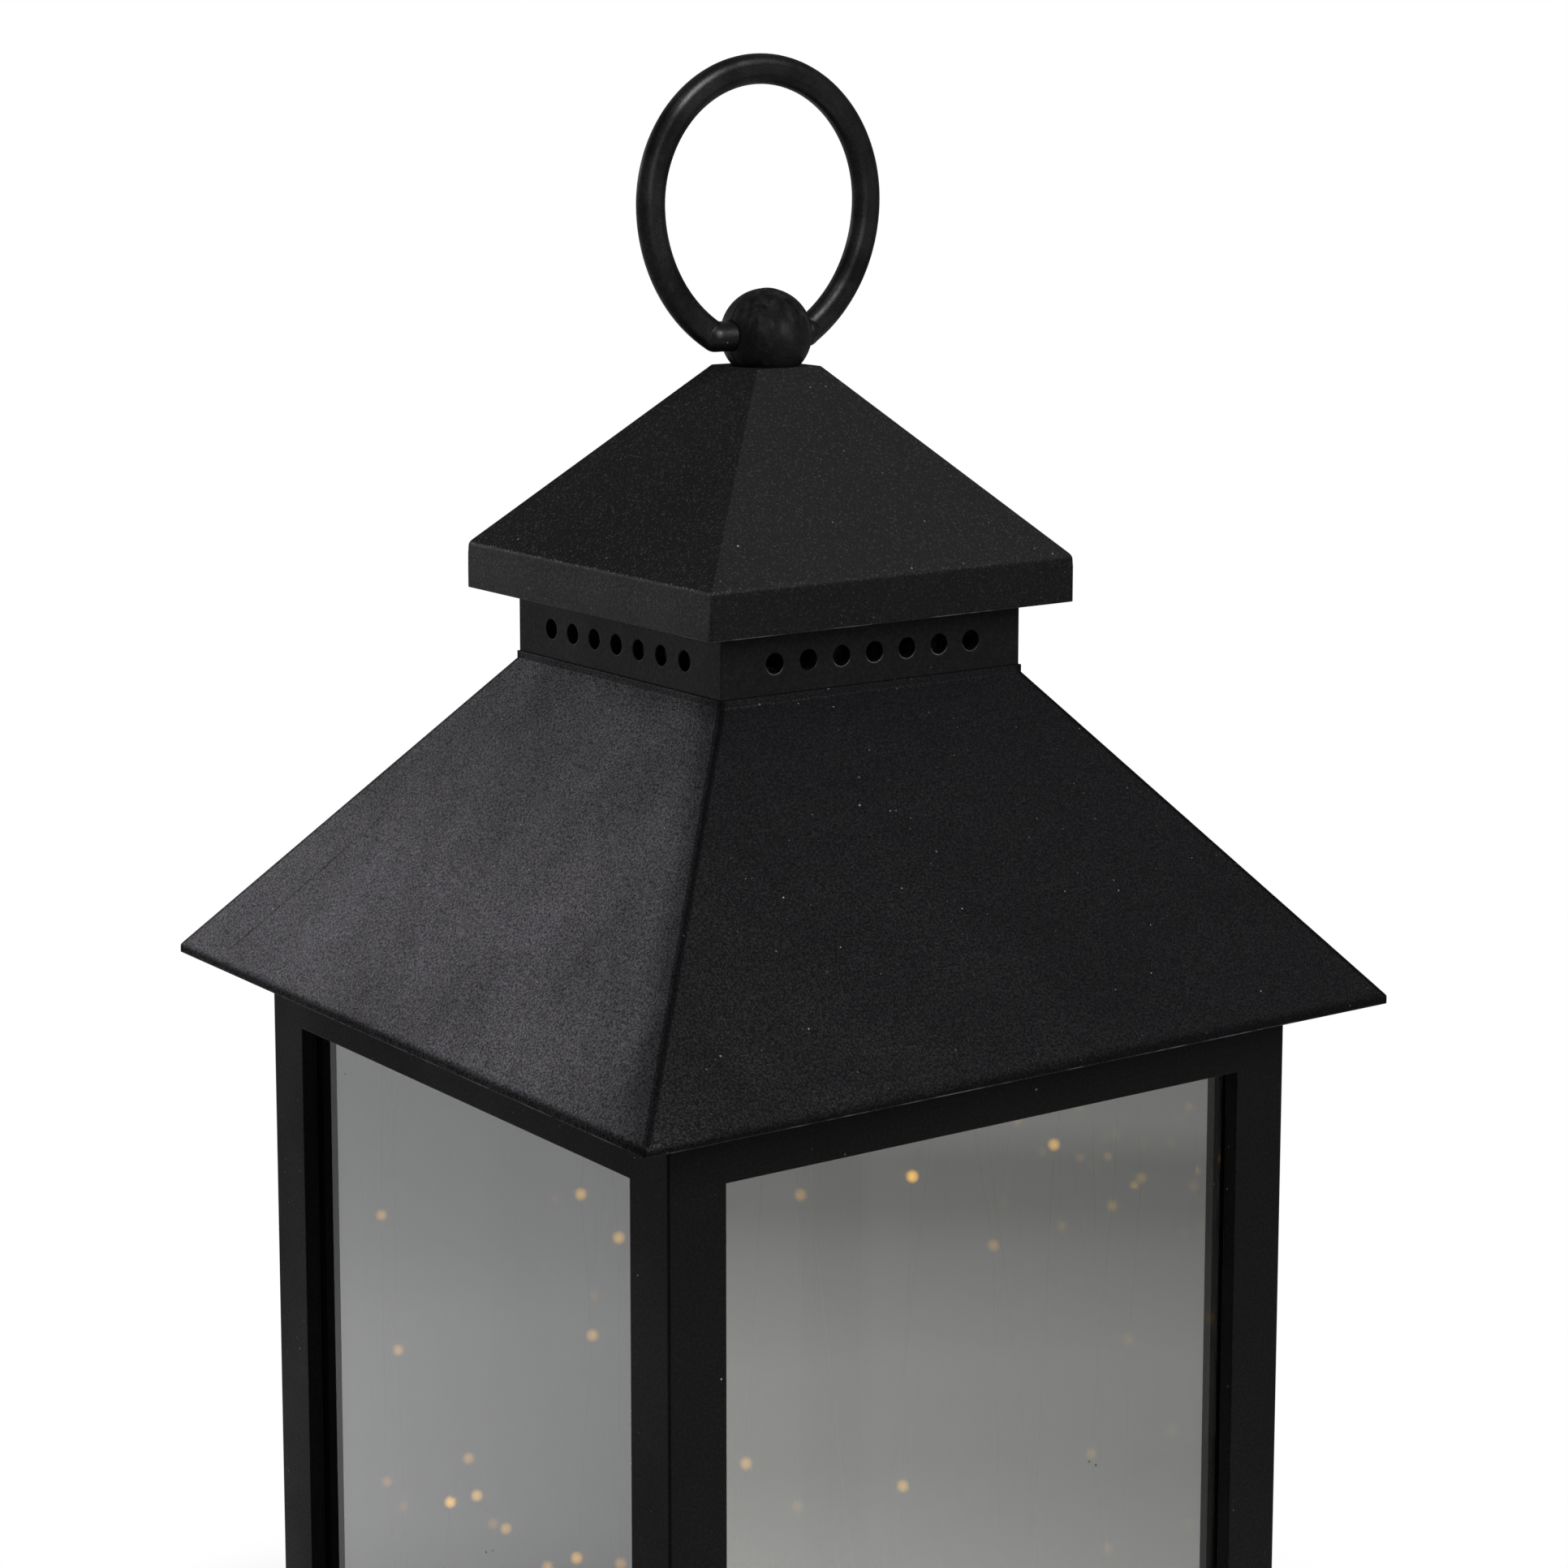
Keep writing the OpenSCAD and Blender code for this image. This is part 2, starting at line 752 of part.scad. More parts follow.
module frame_back() {
    color([0.1, 0.1, 0.1])
        rotate([0, 0, 180])
            side_frame();
}

module frame_left() {
    color([0.1, 0.1, 0.1])
        rotate([0, 0, 270])
            side_frame();
}

module pane_front() {
    color([0.5, 0.52, 0.51])
        side_pane();
}

module pane_right() {
    color([0.5, 0.52, 0.51])
        rotate([0, 0, 90])
            side_pane();
}

module pane_back() {
    color([0.5, 0.52, 0.51])
        rotate([0, 0, 180])
            side_pane();
}

module pane_left() {
    color([0.5, 0.52, 0.51])
        rotate([0, 0, 270])
            side_pane();
}

// ---- Base ----

base_pitch = atan2(shoulder_z - base_z - base_lip, base_r - curb_out);
base_bevel = 0.5;
base_outside = [
    [base_r - base_bevel, base_z], [base_r, base_z + base_bevel], [base_r, base_z + base_lip],
    [curb_out, shoulder_z], [curb_out, curb_z]
];
base_in_top = floor_z - wall;
base_in_x = base_r - wall / sin(base_pitch);
base_inside = [
    [base_in, base_z - cut], [base_in, base_z + 0.7 * base_lip],
    [min(base_in, base_in_x - (base_in_top - base_z - base_lip) / tan(base_pitch)), base_in_top]
];

module base_tray() {
    color([0.1, 0.1, 0.1])
    difference() {
        union() {
            difference() {
                intersection() {
                    hipped(base_outside);
                    translate([0, 0, base_z])
                        square_bar(base_r, rim_round, base_h + cut);
                }
                hipped(base_inside);
            }
            intersection() {
                hipped(base_outside);
                corners(base_screw_at)
                    translate([0, 0, plate_z])
                        cylinder(d = boss_d, h = floor_z - wall / 2 - plate_z);
            }
        }
        translate([-curb_in, -curb_in, floor_z])
            cube([2 * curb_in, 2 * curb_in, curb_h + cut]);
        translate([0, 0, floor_z])
            tab_slots(2 * tab_h + 1);
        corners(base_screw_at)
            translate([0, 0, plate_z - cut])
                cylinder(d = thread_hole, h = cut + thread_in + thread_spare);
        translate([grommet_at[0], grommet_at[1], floor_z - 2 * wall])
            cylinder(d = grommet_d + 2 * grommet_gap, h = 4 * wall);
    }
    color([0.1, 0.1, 0.1])
        wire_hooks(low);
}

// The door's opening in the plate; behind the hinge it leaves room for the opened door
module door_opening() {
    back_y = hinge_y + barrel_r + hinge_room;
    translate([-door_r - door_gap, door_front - door_gap, base_z - cut])
        cube([2 * (door_r + door_gap), back_y - door_front + door_gap, plate_t + 2 * cut]);
}

module base_plate() {
    ear_l = 2 * barrel_r + 1.6;
    color([0.08, 0.08, 0.08])
    difference() {
        union() {
            translate([0, 0, base_z])
                square_bar(plate_r, plate_round, plate_t);
            for (side = [0, 1])
                mirror([side, 0, 0]) {
                    // Hinge ear beside the door's barrel
                    translate([door_r + door_gap + hinge_side, hinge_y - ear_l / 2, base_z + root])
                        cube([hinge_w, ear_l, hinge_z + barrel_r - base_z]);
                    // Boss under the tray's ear
                    translate([ear_x, bay_y, plate_z - root])
                        cylinder(d = 6, h = ear_up + root);
                    // Post for the switch board
                    translate([board_post, switch_y, plate_z - root])
                        cylinder(d = post_d, h = board_z - plate_z + root);
                }
        }
        door_opening();
        for (side = [0, 1])
            mirror([side, 0, 0]) {
                translate([door_r + door_gap - cut, hinge_y, hinge_z])
                    rotate([0, 90, 0])
                        cylinder(d = hinge_d + 2 * hinge_gap, h = hinge_w + 2 * cut);
                translate([ear_x, bay_y, base_z + plate_t / 2])
                    cylinder(d = tray_screw_d + 0.1, h = 2 * ear_up);
                translate([board_post, switch_y, plate_z])
                    cylinder(d = board_screw_d + 0.1, h = board_z);
            }
        corners(base_screw_at)
            translate([0, 0, base_z - cut])
                cylinder(d = screw_hole, h = plate_t + 2 * cut);
        corners(foot_at)
            translate([0, 0, base_z - cut])
                cylinder(d = foot_d + 2 * foot_gap, h = foot_sink + cut);
        translate([(switch_travel - slot_w) / 2, switch_y - slot_d / 2, base_z - cut])
            cube([slot_w, slot_d, plate_t + 2 * cut]);
    }
}

module base_screws() {
    color([0.6, 0.6, 0.62])
    corners(base_screw_at)
        translate([0, 0, base_z - head_h])
            screw(thread_d, head_d, head_h, plate_t + thread_in);
}

module rubber_feet() {
    color([0.05, 0.05, 0.05])
    corners(foot_at) {
        cylinder(d1 = foot_d - 1, d2 = foot_d, h = foot_bevel);
        translate([0, 0, foot_bevel])
            cylinder(d = foot_d, h = foot_h + foot_sink - foot_bevel);
    }
}

// ---- Battery bay ----

module battery_tray() {
    color([0.12, 0.12, 0.12])
    difference() {
        union() {
            translate([-tray_r, bay_y - bay_d / 2 - tray_wall, plate_z])
                cube([2 * tray_r, bay_d + 2 * tray_wall, bay_h + tray_wall]);
            for (side = [0, 1])
                mirror([side, 0, 0])
                    translate([tray_r - root / 2, bay_y - ear_d / 2, plate_z + ear_up])
                        cube([ear_w + root / 2, ear_d, ear_t]);
        }
        translate([-bay_r, bay_y - bay_d / 2, plate_z - cut])
            cube([2 * bay_r, bay_d, bay_h + cut]);
        for (x = [-1, 1])
            translate([x * ear_x, bay_y, plate_z])
                cylinder(d = 2.6, h = bay_h);
        // Holes that the leads' tags come through
        for (y = [-1, 1])
            translate([bay_r - cut, bay_y + y * cell_pitch - 1, plate_z + bay_h - 3])
                cube([tray_wall + 2 * cut, 2, 2]);
    }
    // Low ribs between the batteries, under the tray's roof
    rib_in = 8;
    for (y = [-0.5, 0.5])
        translate([rib_in - bay_r, bay_y + y * cell_pitch - rib_t / 4, plate_z + bay_h - rib_t])
            cube([2 * (bay_r - rib_in), rib_t / 2, rib_t + 0.1]);
}

module tray_screws() {
    color([0.6, 0.6, 0.62])
    for (x = [-1, 1])
        translate([x * ear_x, bay_y, plate_z + ear_up + ear_t + head_h])
            rotate([180, 0, 0])
                screw(tray_screw_d, tray_head_d, head_h, ear_up + ear_t, 2.2);
}

// One battery along X, its nub towards +X
module battery() {
    step = 0.25;
    rotate([0, 90, 0])
        difference() {
            union() {
                translate([0, 0, -cell_l / 2])
                    cylinder(d = cell_d, h = cell_l - nub_h);
                translate([0, 0, cell_l / 2 - nub_h])
                    cylinder(d = nub_d, h = nub_h);
            }
            // Shrunk step of the sleeve beside the nub
            translate([0, 0, cell_l / 2 - nub_h - 2 * step])
                difference() {
                    cylinder(d = cell_d + cut, h = 2 * step + cut / 10);
                    translate([0, 0, -cut])
                        cylinder(d = cell_d - 2 * step, h = 3 * cut);
                }
        }
}

module battery_place(i) {
    push = contact_x - cell_l / 2;
    side = (i % 2 == 0) ? 1 : -1;
    translate([side * push, bay_y + (i - 1) * cell_pitch, cell_z])
        rotate([0, 0, side > 0 ? 0 : 180])
            battery();
}

module battery_1() {
    color([0.75, 0.62, 0.2])
        battery_place(0);
}

module battery_2() {
    color([0.75, 0.62, 0.2])
        battery_place(1);
}

module battery_3() {
    color([0.75, 0.62, 0.2])
        battery_place(2);
}

// Side direction s of a tangent u, carried to the next tangent v without twisting
function carried(s, u, v) = s - (s * v) / (1 + u * v) * (u + v);

// Tube of many-sided rings through a list of points, without twist
module tube(path, d, sides = 8) {
    n = len(path);
    legs = [for (i = [0:n - 2]) unit(path[i + 1] - path[i])];
    tangents = [for (i = [0:n - 1]) unit(legs[max(i - 1, 0)] + legs[min(i, n - 2)])];
    first_side = unit(cross(tangents[0], abs(tangents[0][2]) > 0.8 ? [1, 0, 0] : [0, 0, 1]));
    across = [for (i = 0, s = first_side; i < n; i = i + 1,
        s = i < n ? unit(carried(s, tangents[i - 1], tangents[i])) : s) s];
    rings = [for (i = [0:n - 1], k = [0:sides - 1])
        path[i] + d / 2 * (cos(360 * k / sides) * across[i]
            + sin(360 * k / sides) * cross(tangents[i], across[i]))];
    walls = [for (i = [0:n - 2], k = [0:sides - 1])
        [i * sides + k, (i + 1) * sides + k, (i + 1) * sides + (k + 1) % sides, i * sides + (k + 1) % sides]];
    first = [for (k = [0:sides - 1]) k];
    last = [for (k = [sides - 1:-1:0]) (n - 1) * sides + k];
    polyhedron(rings, concat(walls, [first], [last]), convexity = 10);
}

module contact_springs() {
    turns = 3;
    steps = 14;
    coil_r = 3;
    taper = 0.8;
    wire = 0.6;
    climb = spring_l - wire - 0.35;
    color([0.75, 0.75, 0.72])
    for (i = [0:2])
        translate([(i % 2 == 0 ? -1 : 1) * contact_x, bay_y + (i - 1) * cell_pitch, cell_z])
            rotate([0, i % 2 == 0 ? 90 : -90, 0])
                tube([for (k = [0:turns * steps])
                    let (a = 360 * k / steps, share = k / (turns * steps), r = coil_r - taper * share)
                    [r * cos(a), r * sin(a), wire / 2 + contact_gap + climb * share]],
                    wire, 6);
}

module contact_plates() {
    plate_h = 8;
    inset = 0.4;
    split = 1.2;
    color([0.75, 0.75, 0.72])
    for (x = [-1, 1])
        translate([x * (bay_r - contact_t / 2), bay_y, cell_z])
            difference() {
                cube([contact_t, bay_d - 2 * inset, plate_h], center = true);
                // The single end plate is parted from the plate that bridges two cells
                translate([0, x * cell_pitch / 2, 0])
                    cube([contact_t + cut, split, plate_h + cut], center = true);
            }
}

module battery_door() {
    back_z = base_z + door_t;
    press_w = 24;
    press_t = 1.2;
    color([0.08, 0.08, 0.08])
    difference() {
        union() {
            translate([-door_r, door_front, base_z])
                cube([2 * door_r, hinge_y - door_front, door_t]);
            translate([-door_r, hinge_y, hinge_z])
                rotate([0, 90, 0])
                    cylinder(r = barrel_r, h = 2 * door_r);
            translate([-door_r - hinge_w, hinge_y, hinge_z])
                rotate([0, 90, 0])
                    cylinder(d = hinge_d, h = 2 * (door_r + hinge_w));
            // Ribs that press on the batteries
            for (i = [-1:1])
                translate([-press_w / 2, bay_y + i * cell_pitch - press_t / 2, back_z - root])
                    cube([press_w, press_t, root + 0.1]);
            // Latch tongue
            translate([-latch_w / 2, door_front, back_z - root])
                cube([latch_w, latch_t, latch_h + root]);
        }
        // Barrel is cut away between its two end knuckles
        translate([knuckle_w - door_r, hinge_y - barrel_r - door_gap, back_z])
            cube([2 * (door_r - knuckle_w), 2 * barrel_r + 2, 2 * barrel_r]);
        // Finger groove beside the latch
        translate([0, door_front + 5, base_z + grip_deep - grip_r])
            rotate([0, 90, 0])
                cylinder(r = grip_r, h = grip_w, center = true);
    }
}

// ---- Switch and light wire ----

module switch_board() {
    color([0.08, 0.3, 0.16])
    difference() {
        translate([-board_w / 2, switch_y - board_d / 2, board_z])
            cube([board_w, board_d, board_t]);
        for (x = [-1, 1])
            translate([x * board_post, switch_y, board_z - cut])
                cylinder(d = 2.4, h = board_t + 2 * cut);
    }
}

// Timer chip, capacitor and resistor on the board
module timer_chip() {
    color([0.1, 0.1, 0.1])
    translate([-8, switch_y + 2, board_z + board_t]) {
        cube([6, 4, 1.6]);
        translate([9, 0.5, 0])
            cylinder(d = 4, h = 3.6);
        translate([2, -6, 0])
            cube([3.2, 1.6, 0.6]);
    }
}

module board_screws() {
    color([0.6, 0.6, 0.62])
    for (x = [-1, 1])
        translate([x * board_post, switch_y, board_z + board_t + board_head_h])
            rotate([180, 0, 0])
                screw(board_screw_d, 3.8, board_head_h, board_t + 4.5, 2);
}

module switch_body() {
    rail = switch_travel + 3;
    color([0.7, 0.7, 0.7])
    translate([switch_travel / 2, switch_y, board_z - switch_h])
        difference() {
            translate([-switch_l / 2, -switch_w / 2, 0])
                cube([switch_l, switch_w, switch_h]);
            translate([-rail / 2, -stem_w / 2 - stem_room, -cut])
                cube([rail, stem_w + 2 * stem_room, switch_h - 1 + cut]);
        }
}

module switch_knob() {
    groove = 0.4;
    stem_top = board_z - 1 - 0.4;
    color([0.16, 0.16, 0.16])
    translate([0, switch_y, 0])
        difference() {
            union() {
                translate([-knob_w / 2, -knob_d / 2, base_z - knob_out])
                    cube([knob_w, knob_d, plate_t + knob_out + 2 * flange_gap]);
                translate([-knob_w / 2 - flange, -knob_d / 2 - flange_t, plate_z + flange_gap])
                    cube([knob_w + 2 * flange, knob_d + 2 * flange_t, flange_t]);
                translate([-stem_w / 2, -stem_w / 2, plate_z + flange_t])
                    cube([stem_w, stem_w, stem_top - plate_z - flange_t]);
            }
            for (x = [-1:1])
                translate([x - groove / 2, -knob_d / 2 - cut, base_z - knob_out - cut])
                    cube([groove, knob_d + 2 * cut, cut + 0.3]);
        }
}

module wire_grommet() {
    low_z = floor_z - wall - grommet_flange_t - 0.05;
    reach = wall + 2 * grommet_flange_t + 0.1;
    color([0.05, 0.05, 0.05])
    translate([grommet_at[0], grommet_at[1], low_z])
        difference() {
            union() {
                cylinder(d = grommet_flange_d, h = grommet_flange_t);
                cylinder(d = grommet_d, h = reach);
                translate([0, 0, reach - grommet_flange_t])
                    cylinder(d = grommet_flange_d, h = grommet_flange_t);
            }
            translate([0, 0, -cut])
                cylinder(d = wire_d + 1, h = reach + 2 * cut);
        }
}

module light_wire() {
    color([0.35, 0.22, 0.1])
        tube(wire_path, wire_d);
}

module light_beads() {
    color([0.95, 0.72, 0.42])
    for (p = bead_points)
        translate(p)
            sphere(d = bead_d, $fn = 24);
}

// Leads from the battery contacts to the board, by hand
red_path = [
    [bay_r + 0.4, 23.3, 13], [bay_r + 4, 23, 13.5], [bay_r + 11, 18, 12], [bay_r + 11, 0, 9],
    [32, -18, 10], [24, -26, 13], [17, -29, board_z + board_t + 0.6]
];
black_path = [
    [bay_r + 0.4, 0.7, 13], [bay_r + 3, 0.4, 13.5], [bay_r + 7, -4, 12], [26, -14, 11],
    [18, -22, 13], [12, -27, board_z + board_t + 0.6]
];

module lead_red() {
    color([0.7, 0.08, 0.06])
        tube(red_path, 1.2);
}

module lead_black() {
    color([0.06, 0.06, 0.06])
        tube(black_path, 1.2);
}

carry_ring();
ball_finial();
finial_screw();
cap_shell();
vent_collar();
roof_shell();
cap_screws();
ceiling_plate();
ceiling_screws();
frame_front();
frame_right();
frame_back();
frame_left();
pane_front();
pane_right();
pane_back();
pane_left();
base_tray();
base_plate();
base_screws();
rubber_feet();
battery_tray();
tray_screws();
battery_1();
battery_2();
battery_3();
contact_springs();
contact_plates();
battery_door();
switch_board();
timer_chip();
board_screws();
switch_body();
switch_knob();
wire_grommet();
light_wire();
light_beads();
lead_red();
lead_black();
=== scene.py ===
"""Square garden lantern with mirrored panes and warm micro lights, dressed and lit on white.

The CAD bodies come from the frame. This script gives each of them its finish, closes the seams of the side
frames, adds the light wire, its drops and the battery leads as modelled surfaces, and sets the studio.
Lengths are in metres and colours are sRGB from 0 to 255.
"""
import logging
import math
from dataclasses import dataclass, field
from enum import Enum

import bpy
import numpy as np
from mathutils import Matrix, Vector


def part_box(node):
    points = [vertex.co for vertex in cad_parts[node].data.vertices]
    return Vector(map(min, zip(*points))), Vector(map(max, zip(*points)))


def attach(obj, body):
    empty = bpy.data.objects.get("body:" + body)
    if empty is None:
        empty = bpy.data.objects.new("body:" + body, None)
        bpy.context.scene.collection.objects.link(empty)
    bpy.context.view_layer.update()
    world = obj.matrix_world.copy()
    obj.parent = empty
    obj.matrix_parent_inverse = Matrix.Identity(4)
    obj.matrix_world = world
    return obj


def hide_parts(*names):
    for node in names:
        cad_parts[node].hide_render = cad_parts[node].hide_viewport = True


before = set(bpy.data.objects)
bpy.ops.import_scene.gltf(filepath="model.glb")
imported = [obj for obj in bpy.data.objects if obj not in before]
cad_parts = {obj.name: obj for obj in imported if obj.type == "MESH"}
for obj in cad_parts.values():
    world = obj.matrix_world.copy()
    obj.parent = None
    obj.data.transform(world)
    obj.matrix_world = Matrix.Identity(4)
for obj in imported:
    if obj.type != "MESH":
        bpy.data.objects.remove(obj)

LOG = logging.getLogger("lantern")
MM = 0.001
SIDES = ("front", "right", "back", "left")

EDGE_FADE = 0.3 * MM     # half the width over which a finish changes at an edge
SINK_PITCH = 24 * MM     # size of the shallow sink marks of a moulded wall
COLLAR_H = 10.3 * MM     # height of the vented collar, which the cap's rim starts above
RIM_H = 7.3 * MM         # height of the cap's upright rim
STRAND_SIDES = 6         # points round a strand of the light wire
LEAD_SIDES = 12          # points round a battery lead


# --------------------------------------------------------------------------------------------------
# Small helpers
# --------------------------------------------------------------------------------------------------
def linear(rgb: tuple[float, float, float]) -> tuple[float, float, float, float]:
    """Scene-linear RGBA of an sRGB colour given from 0 to 255."""
    parts = np.asarray(rgb, float) / 255.0
    out = np.where(parts <= 0.04045, parts / 12.92, ((parts + 0.055) / 1.055) ** 2.4)
    return (*(float(v) for v in out), 1.0)


class Graph:
    """Builds a node tree of a material or a world with few words."""

    def __init__(self, owner: bpy.types.ID) -> None:
        """Starts from an empty tree on the owner."""
        owner.use_nodes = True
        self.tree = owner.node_tree
        self.tree.nodes.clear()

    def node(self, kind: str, inputs: dict | None = None, **settings) -> bpy.types.Node:
        """Adds a node.

        Args:
            kind: the node's bl_idname.
            inputs: input name or index to a value or to another node's output.
            settings: properties of the node itself.

        Returns:
            The new node.
        """
        made = self.tree.nodes.new(kind)
        for key, value in settings.items():
            setattr(made, key, value)
        for key, value in (inputs or {}).items():
            self.put(made.inputs[key], value)
        return made

    def put(self, socket: bpy.types.NodeSocket, value) -> None:
        """Links an output to the socket, or sets the socket's own value."""
        if isinstance(value, bpy.types.NodeSocket):
            self.tree.links.new(value, socket)
        else:
            socket.default_value = value

    def math(self, operation: str, *values, clamp: bool = False) -> bpy.types.NodeSocket:
        """Output of a math node over sockets or numbers."""
        made = self.node("ShaderNodeMath", operation=operation, use_clamp=clamp)
        for socket, value in zip(made.inputs, values):
            self.put(socket, value)
        return made.outputs[0]

    def step(self, value, low: float, high: float) -> bpy.types.NodeSocket:
        """Smooth step of a value from 0 at low to 1 at high; low may be the larger one."""
        flip = low > high
        made = self.node(
            "ShaderNodeMapRange",
            {"Value": value, "From Min": min(low, high), "From Max": max(low, high),
             "To Min": 1.0 if flip else 0.0, "To Max": 0.0 if flip else 1.0},
            interpolation_type="SMOOTHSTEP",
        )
        return made.outputs[0]

    def mix(self, factor, a, b, blend: str = "MIX") -> bpy.types.NodeSocket:
        """Colour mix of a and b."""
        made = self.node("ShaderNodeMix", data_type="RGBA", blend_type=blend)
        for index, value in ((0, factor), (6, a), (7, b)):
            self.put(made.inputs[index], value)
        return made.outputs[2]

    def blend(self, factor, a, b) -> bpy.types.NodeSocket:
        """Number between a and b."""
        made = self.node("ShaderNodeMix", data_type="FLOAT")
        for index, value in ((0, factor), (2, a), (3, b)):
            self.put(made.inputs[index], value)
        return made.outputs[0]

    def shader_mix(self, factor, a, b) -> bpy.types.NodeSocket:
        """Shader mix of a and b."""
        made = self.node("ShaderNodeMixShader")
        for index, value in ((0, factor), (1, a), (2, b)):
            self.put(made.inputs[index], value)
        return made.outputs[0]

    def place(self) -> bpy.types.NodeSocket:
        """The point being shaded, in the object's own coordinates, which are the row frame in metres."""
        return self.node("ShaderNodeTexCoord").outputs["Object"]

    def axes(self, vector) -> tuple[bpy.types.NodeSocket, ...]:
        """X, Y and Z of a vector."""
        return tuple(self.node("ShaderNodeSeparateXYZ", {0: vector}).outputs)

    def noise(self, vector, scale: float, detail: float = 2.0, rough: float = 0.5) -> bpy.types.NodeSocket:
        """Factor of a noise texture whose scale is in features per metre."""
        made = self.node(
            "ShaderNodeTexNoise", {"Vector": vector, "Scale": scale, "Detail": detail, "Roughness": rough}
        )
        return made.outputs[0]

    def stretched(self, vector, scale: tuple, turn: tuple = (0.0, 0.0, 0.0)) -> bpy.types.NodeSocket:
        """The vector turned by the angles and scaled along each axis, for streaky noise."""
        return self.node("ShaderNodeMapping", {0: vector, 2: turn, 3: scale}).outputs[0]

    def product(self, first, *others) -> bpy.types.NodeSocket:
        """Product of sockets or numbers."""
        for other in others:
            first = self.math("MULTIPLY", first, other)
        return first

    def from_diagonal(self, x, y) -> bpy.types.NodeSocket:
        """|x| - |y|: above 0 on the left and right faces, below 0 on the front and back ones."""
        return self.math("SUBTRACT", self.math("ABSOLUTE", x), self.math("ABSOLUTE", y))

    def bump(self, height, distance: float, normal) -> bpy.types.NodeSocket:
        """Normal bent by a height field from 0 to 1 that is distance deep."""
        return self.node(
            "ShaderNodeBump", {"Strength": 1.0, "Distance": distance, "Height": height, "Normal": normal}
        ).outputs[0]

    def ramp(self, factor, stops: list[tuple[float, float]]) -> bpy.types.NodeSocket:
        """Grey ramp through (position, level) stops."""
        made = self.node("ShaderNodeValToRGB", {0: factor})
        points = made.color_ramp.elements
        while len(points) < len(stops):
            points.new(0.5)
        for point, (position, level) in zip(points, stops):
            point.position = position
            point.color = (level, level, level, 1.0)
        return made.outputs[0]

    def finish(self, shader, kind: str = "ShaderNodeOutputMaterial") -> None:
        """Sends the shader to the tree's output."""
        self.put(self.node(kind).inputs["Surface"], shader)


class Surface:
    """Mesh pieces made from whole numpy grids."""

    @staticmethod
    def mesh_object(name: str, points: np.ndarray, faces: np.ndarray) -> bpy.types.Object:
        """A smooth mesh object at the origin.

        Args:
            name: the piece's name.
            points: (n, 3) vertices in metres.
            faces: (m, 4) or (m, 3) vertex indices.

        Returns:
            The linked object.
        """
        mesh = bpy.data.meshes.new(name)
        mesh.from_pydata(points.tolist(), [], faces.tolist())
        mesh.polygons.foreach_set("use_smooth", np.ones(len(mesh.polygons), dtype=bool))
        mesh.update()
        made = bpy.data.objects.new(name, mesh)
        bpy.context.scene.collection.objects.link(made)
        return made

    @staticmethod
    def grid_faces(rows: int, columns: int) -> np.ndarray:
        """Quads of a grid that is open along its rows and closed round its columns."""
        row, column = np.meshgrid(np.arange(rows - 1), np.arange(columns), indexing="ij")
        after = (column + 1) % columns
        quads = np.stack(
            [row * columns + column, row * columns + after, (row + 1) * columns + after,
             (row + 1) * columns + column], axis=-1
        )
        return quads.reshape(-1, 4)

    @staticmethod
    def sides(path: np.ndarray) -> tuple[np.ndarray, np.ndarray]:
        """Two directions across a path, square to it and to each other, that don't twist round it.

        Args:
            path: (n, 3) points.

        Returns:
            Two (n, 3) arrays of unit vectors.
        """
        tangent = np.gradient(path, axis=0)
        tangent /= np.linalg.norm(tangent, axis=1, keepdims=True)
        side = np.empty_like(path)
        across = np.cross(tangent[0], (0.0, 0.0, 1.0) if abs(tangent[0][2]) < 0.8 else (1.0, 0.0, 0.0))
        for index, (before, after) in enumerate(zip(np.vstack([tangent[:1], tangent[:-1]]), tangent)):
            across = across - across @ after / (1.0 + before @ after) * (before + after)
            across /= np.linalg.norm(across)
            side[index] = across
        return side, np.cross(tangent, side)

    @staticmethod
    def tube(path: np.ndarray, side: np.ndarray, lift: np.ndarray, radius: float, sides: int) -> np.ndarray:
        """Point at step t and angle v: path(t) + radius (cos v side(t) + sin v lift(t)).

        Args:
            path: (n, 3) middle line.
            side: (n, 3) first direction across it.
            lift: (n, 3) second direction across it.
            radius: radius of the tube.
            sides: points round the tube.

        Returns:
            (n * sides, 3) points, ring after ring.
        """
        v = np.linspace(0, 2 * math.pi, sides, endpoint=False)[None, :, None]
        ring = np.cos(v) * side[:, None, :] + np.sin(v) * lift[:, None, :]
        return (path[:, None, :] + radius * ring).reshape(-1, 3)

    @staticmethod
    def even_route(points: np.ndarray, spacing: float, softness: int) -> np.ndarray:
        """Even points along a route, its bends rounded by a moving average.

        Args:
            points: (n, 3) route points.
            spacing: distance between the new points.
            softness: how many new points each bend is averaged over, an odd number.

        Returns:
            (m, 3) points that start and end where the route does.
        """
        legs = np.linalg.norm(np.diff(points, axis=0), axis=1)
        along = np.concatenate([[0.0], np.cumsum(legs)])
        even = np.linspace(0.0, along[-1], max(8, int(along[-1] / spacing)))
        line = np.stack([np.interp(even, along, points[:, axis]) for axis in range(3)], axis=1)
        kernel = np.ones(softness) / softness
        padded = np.pad(line, ((softness // 2, softness // 2), (0, 0)), mode="edge")
        return np.stack([np.convolve(padded[:, axis], kernel, mode="valid") for axis in range(3)], axis=1)


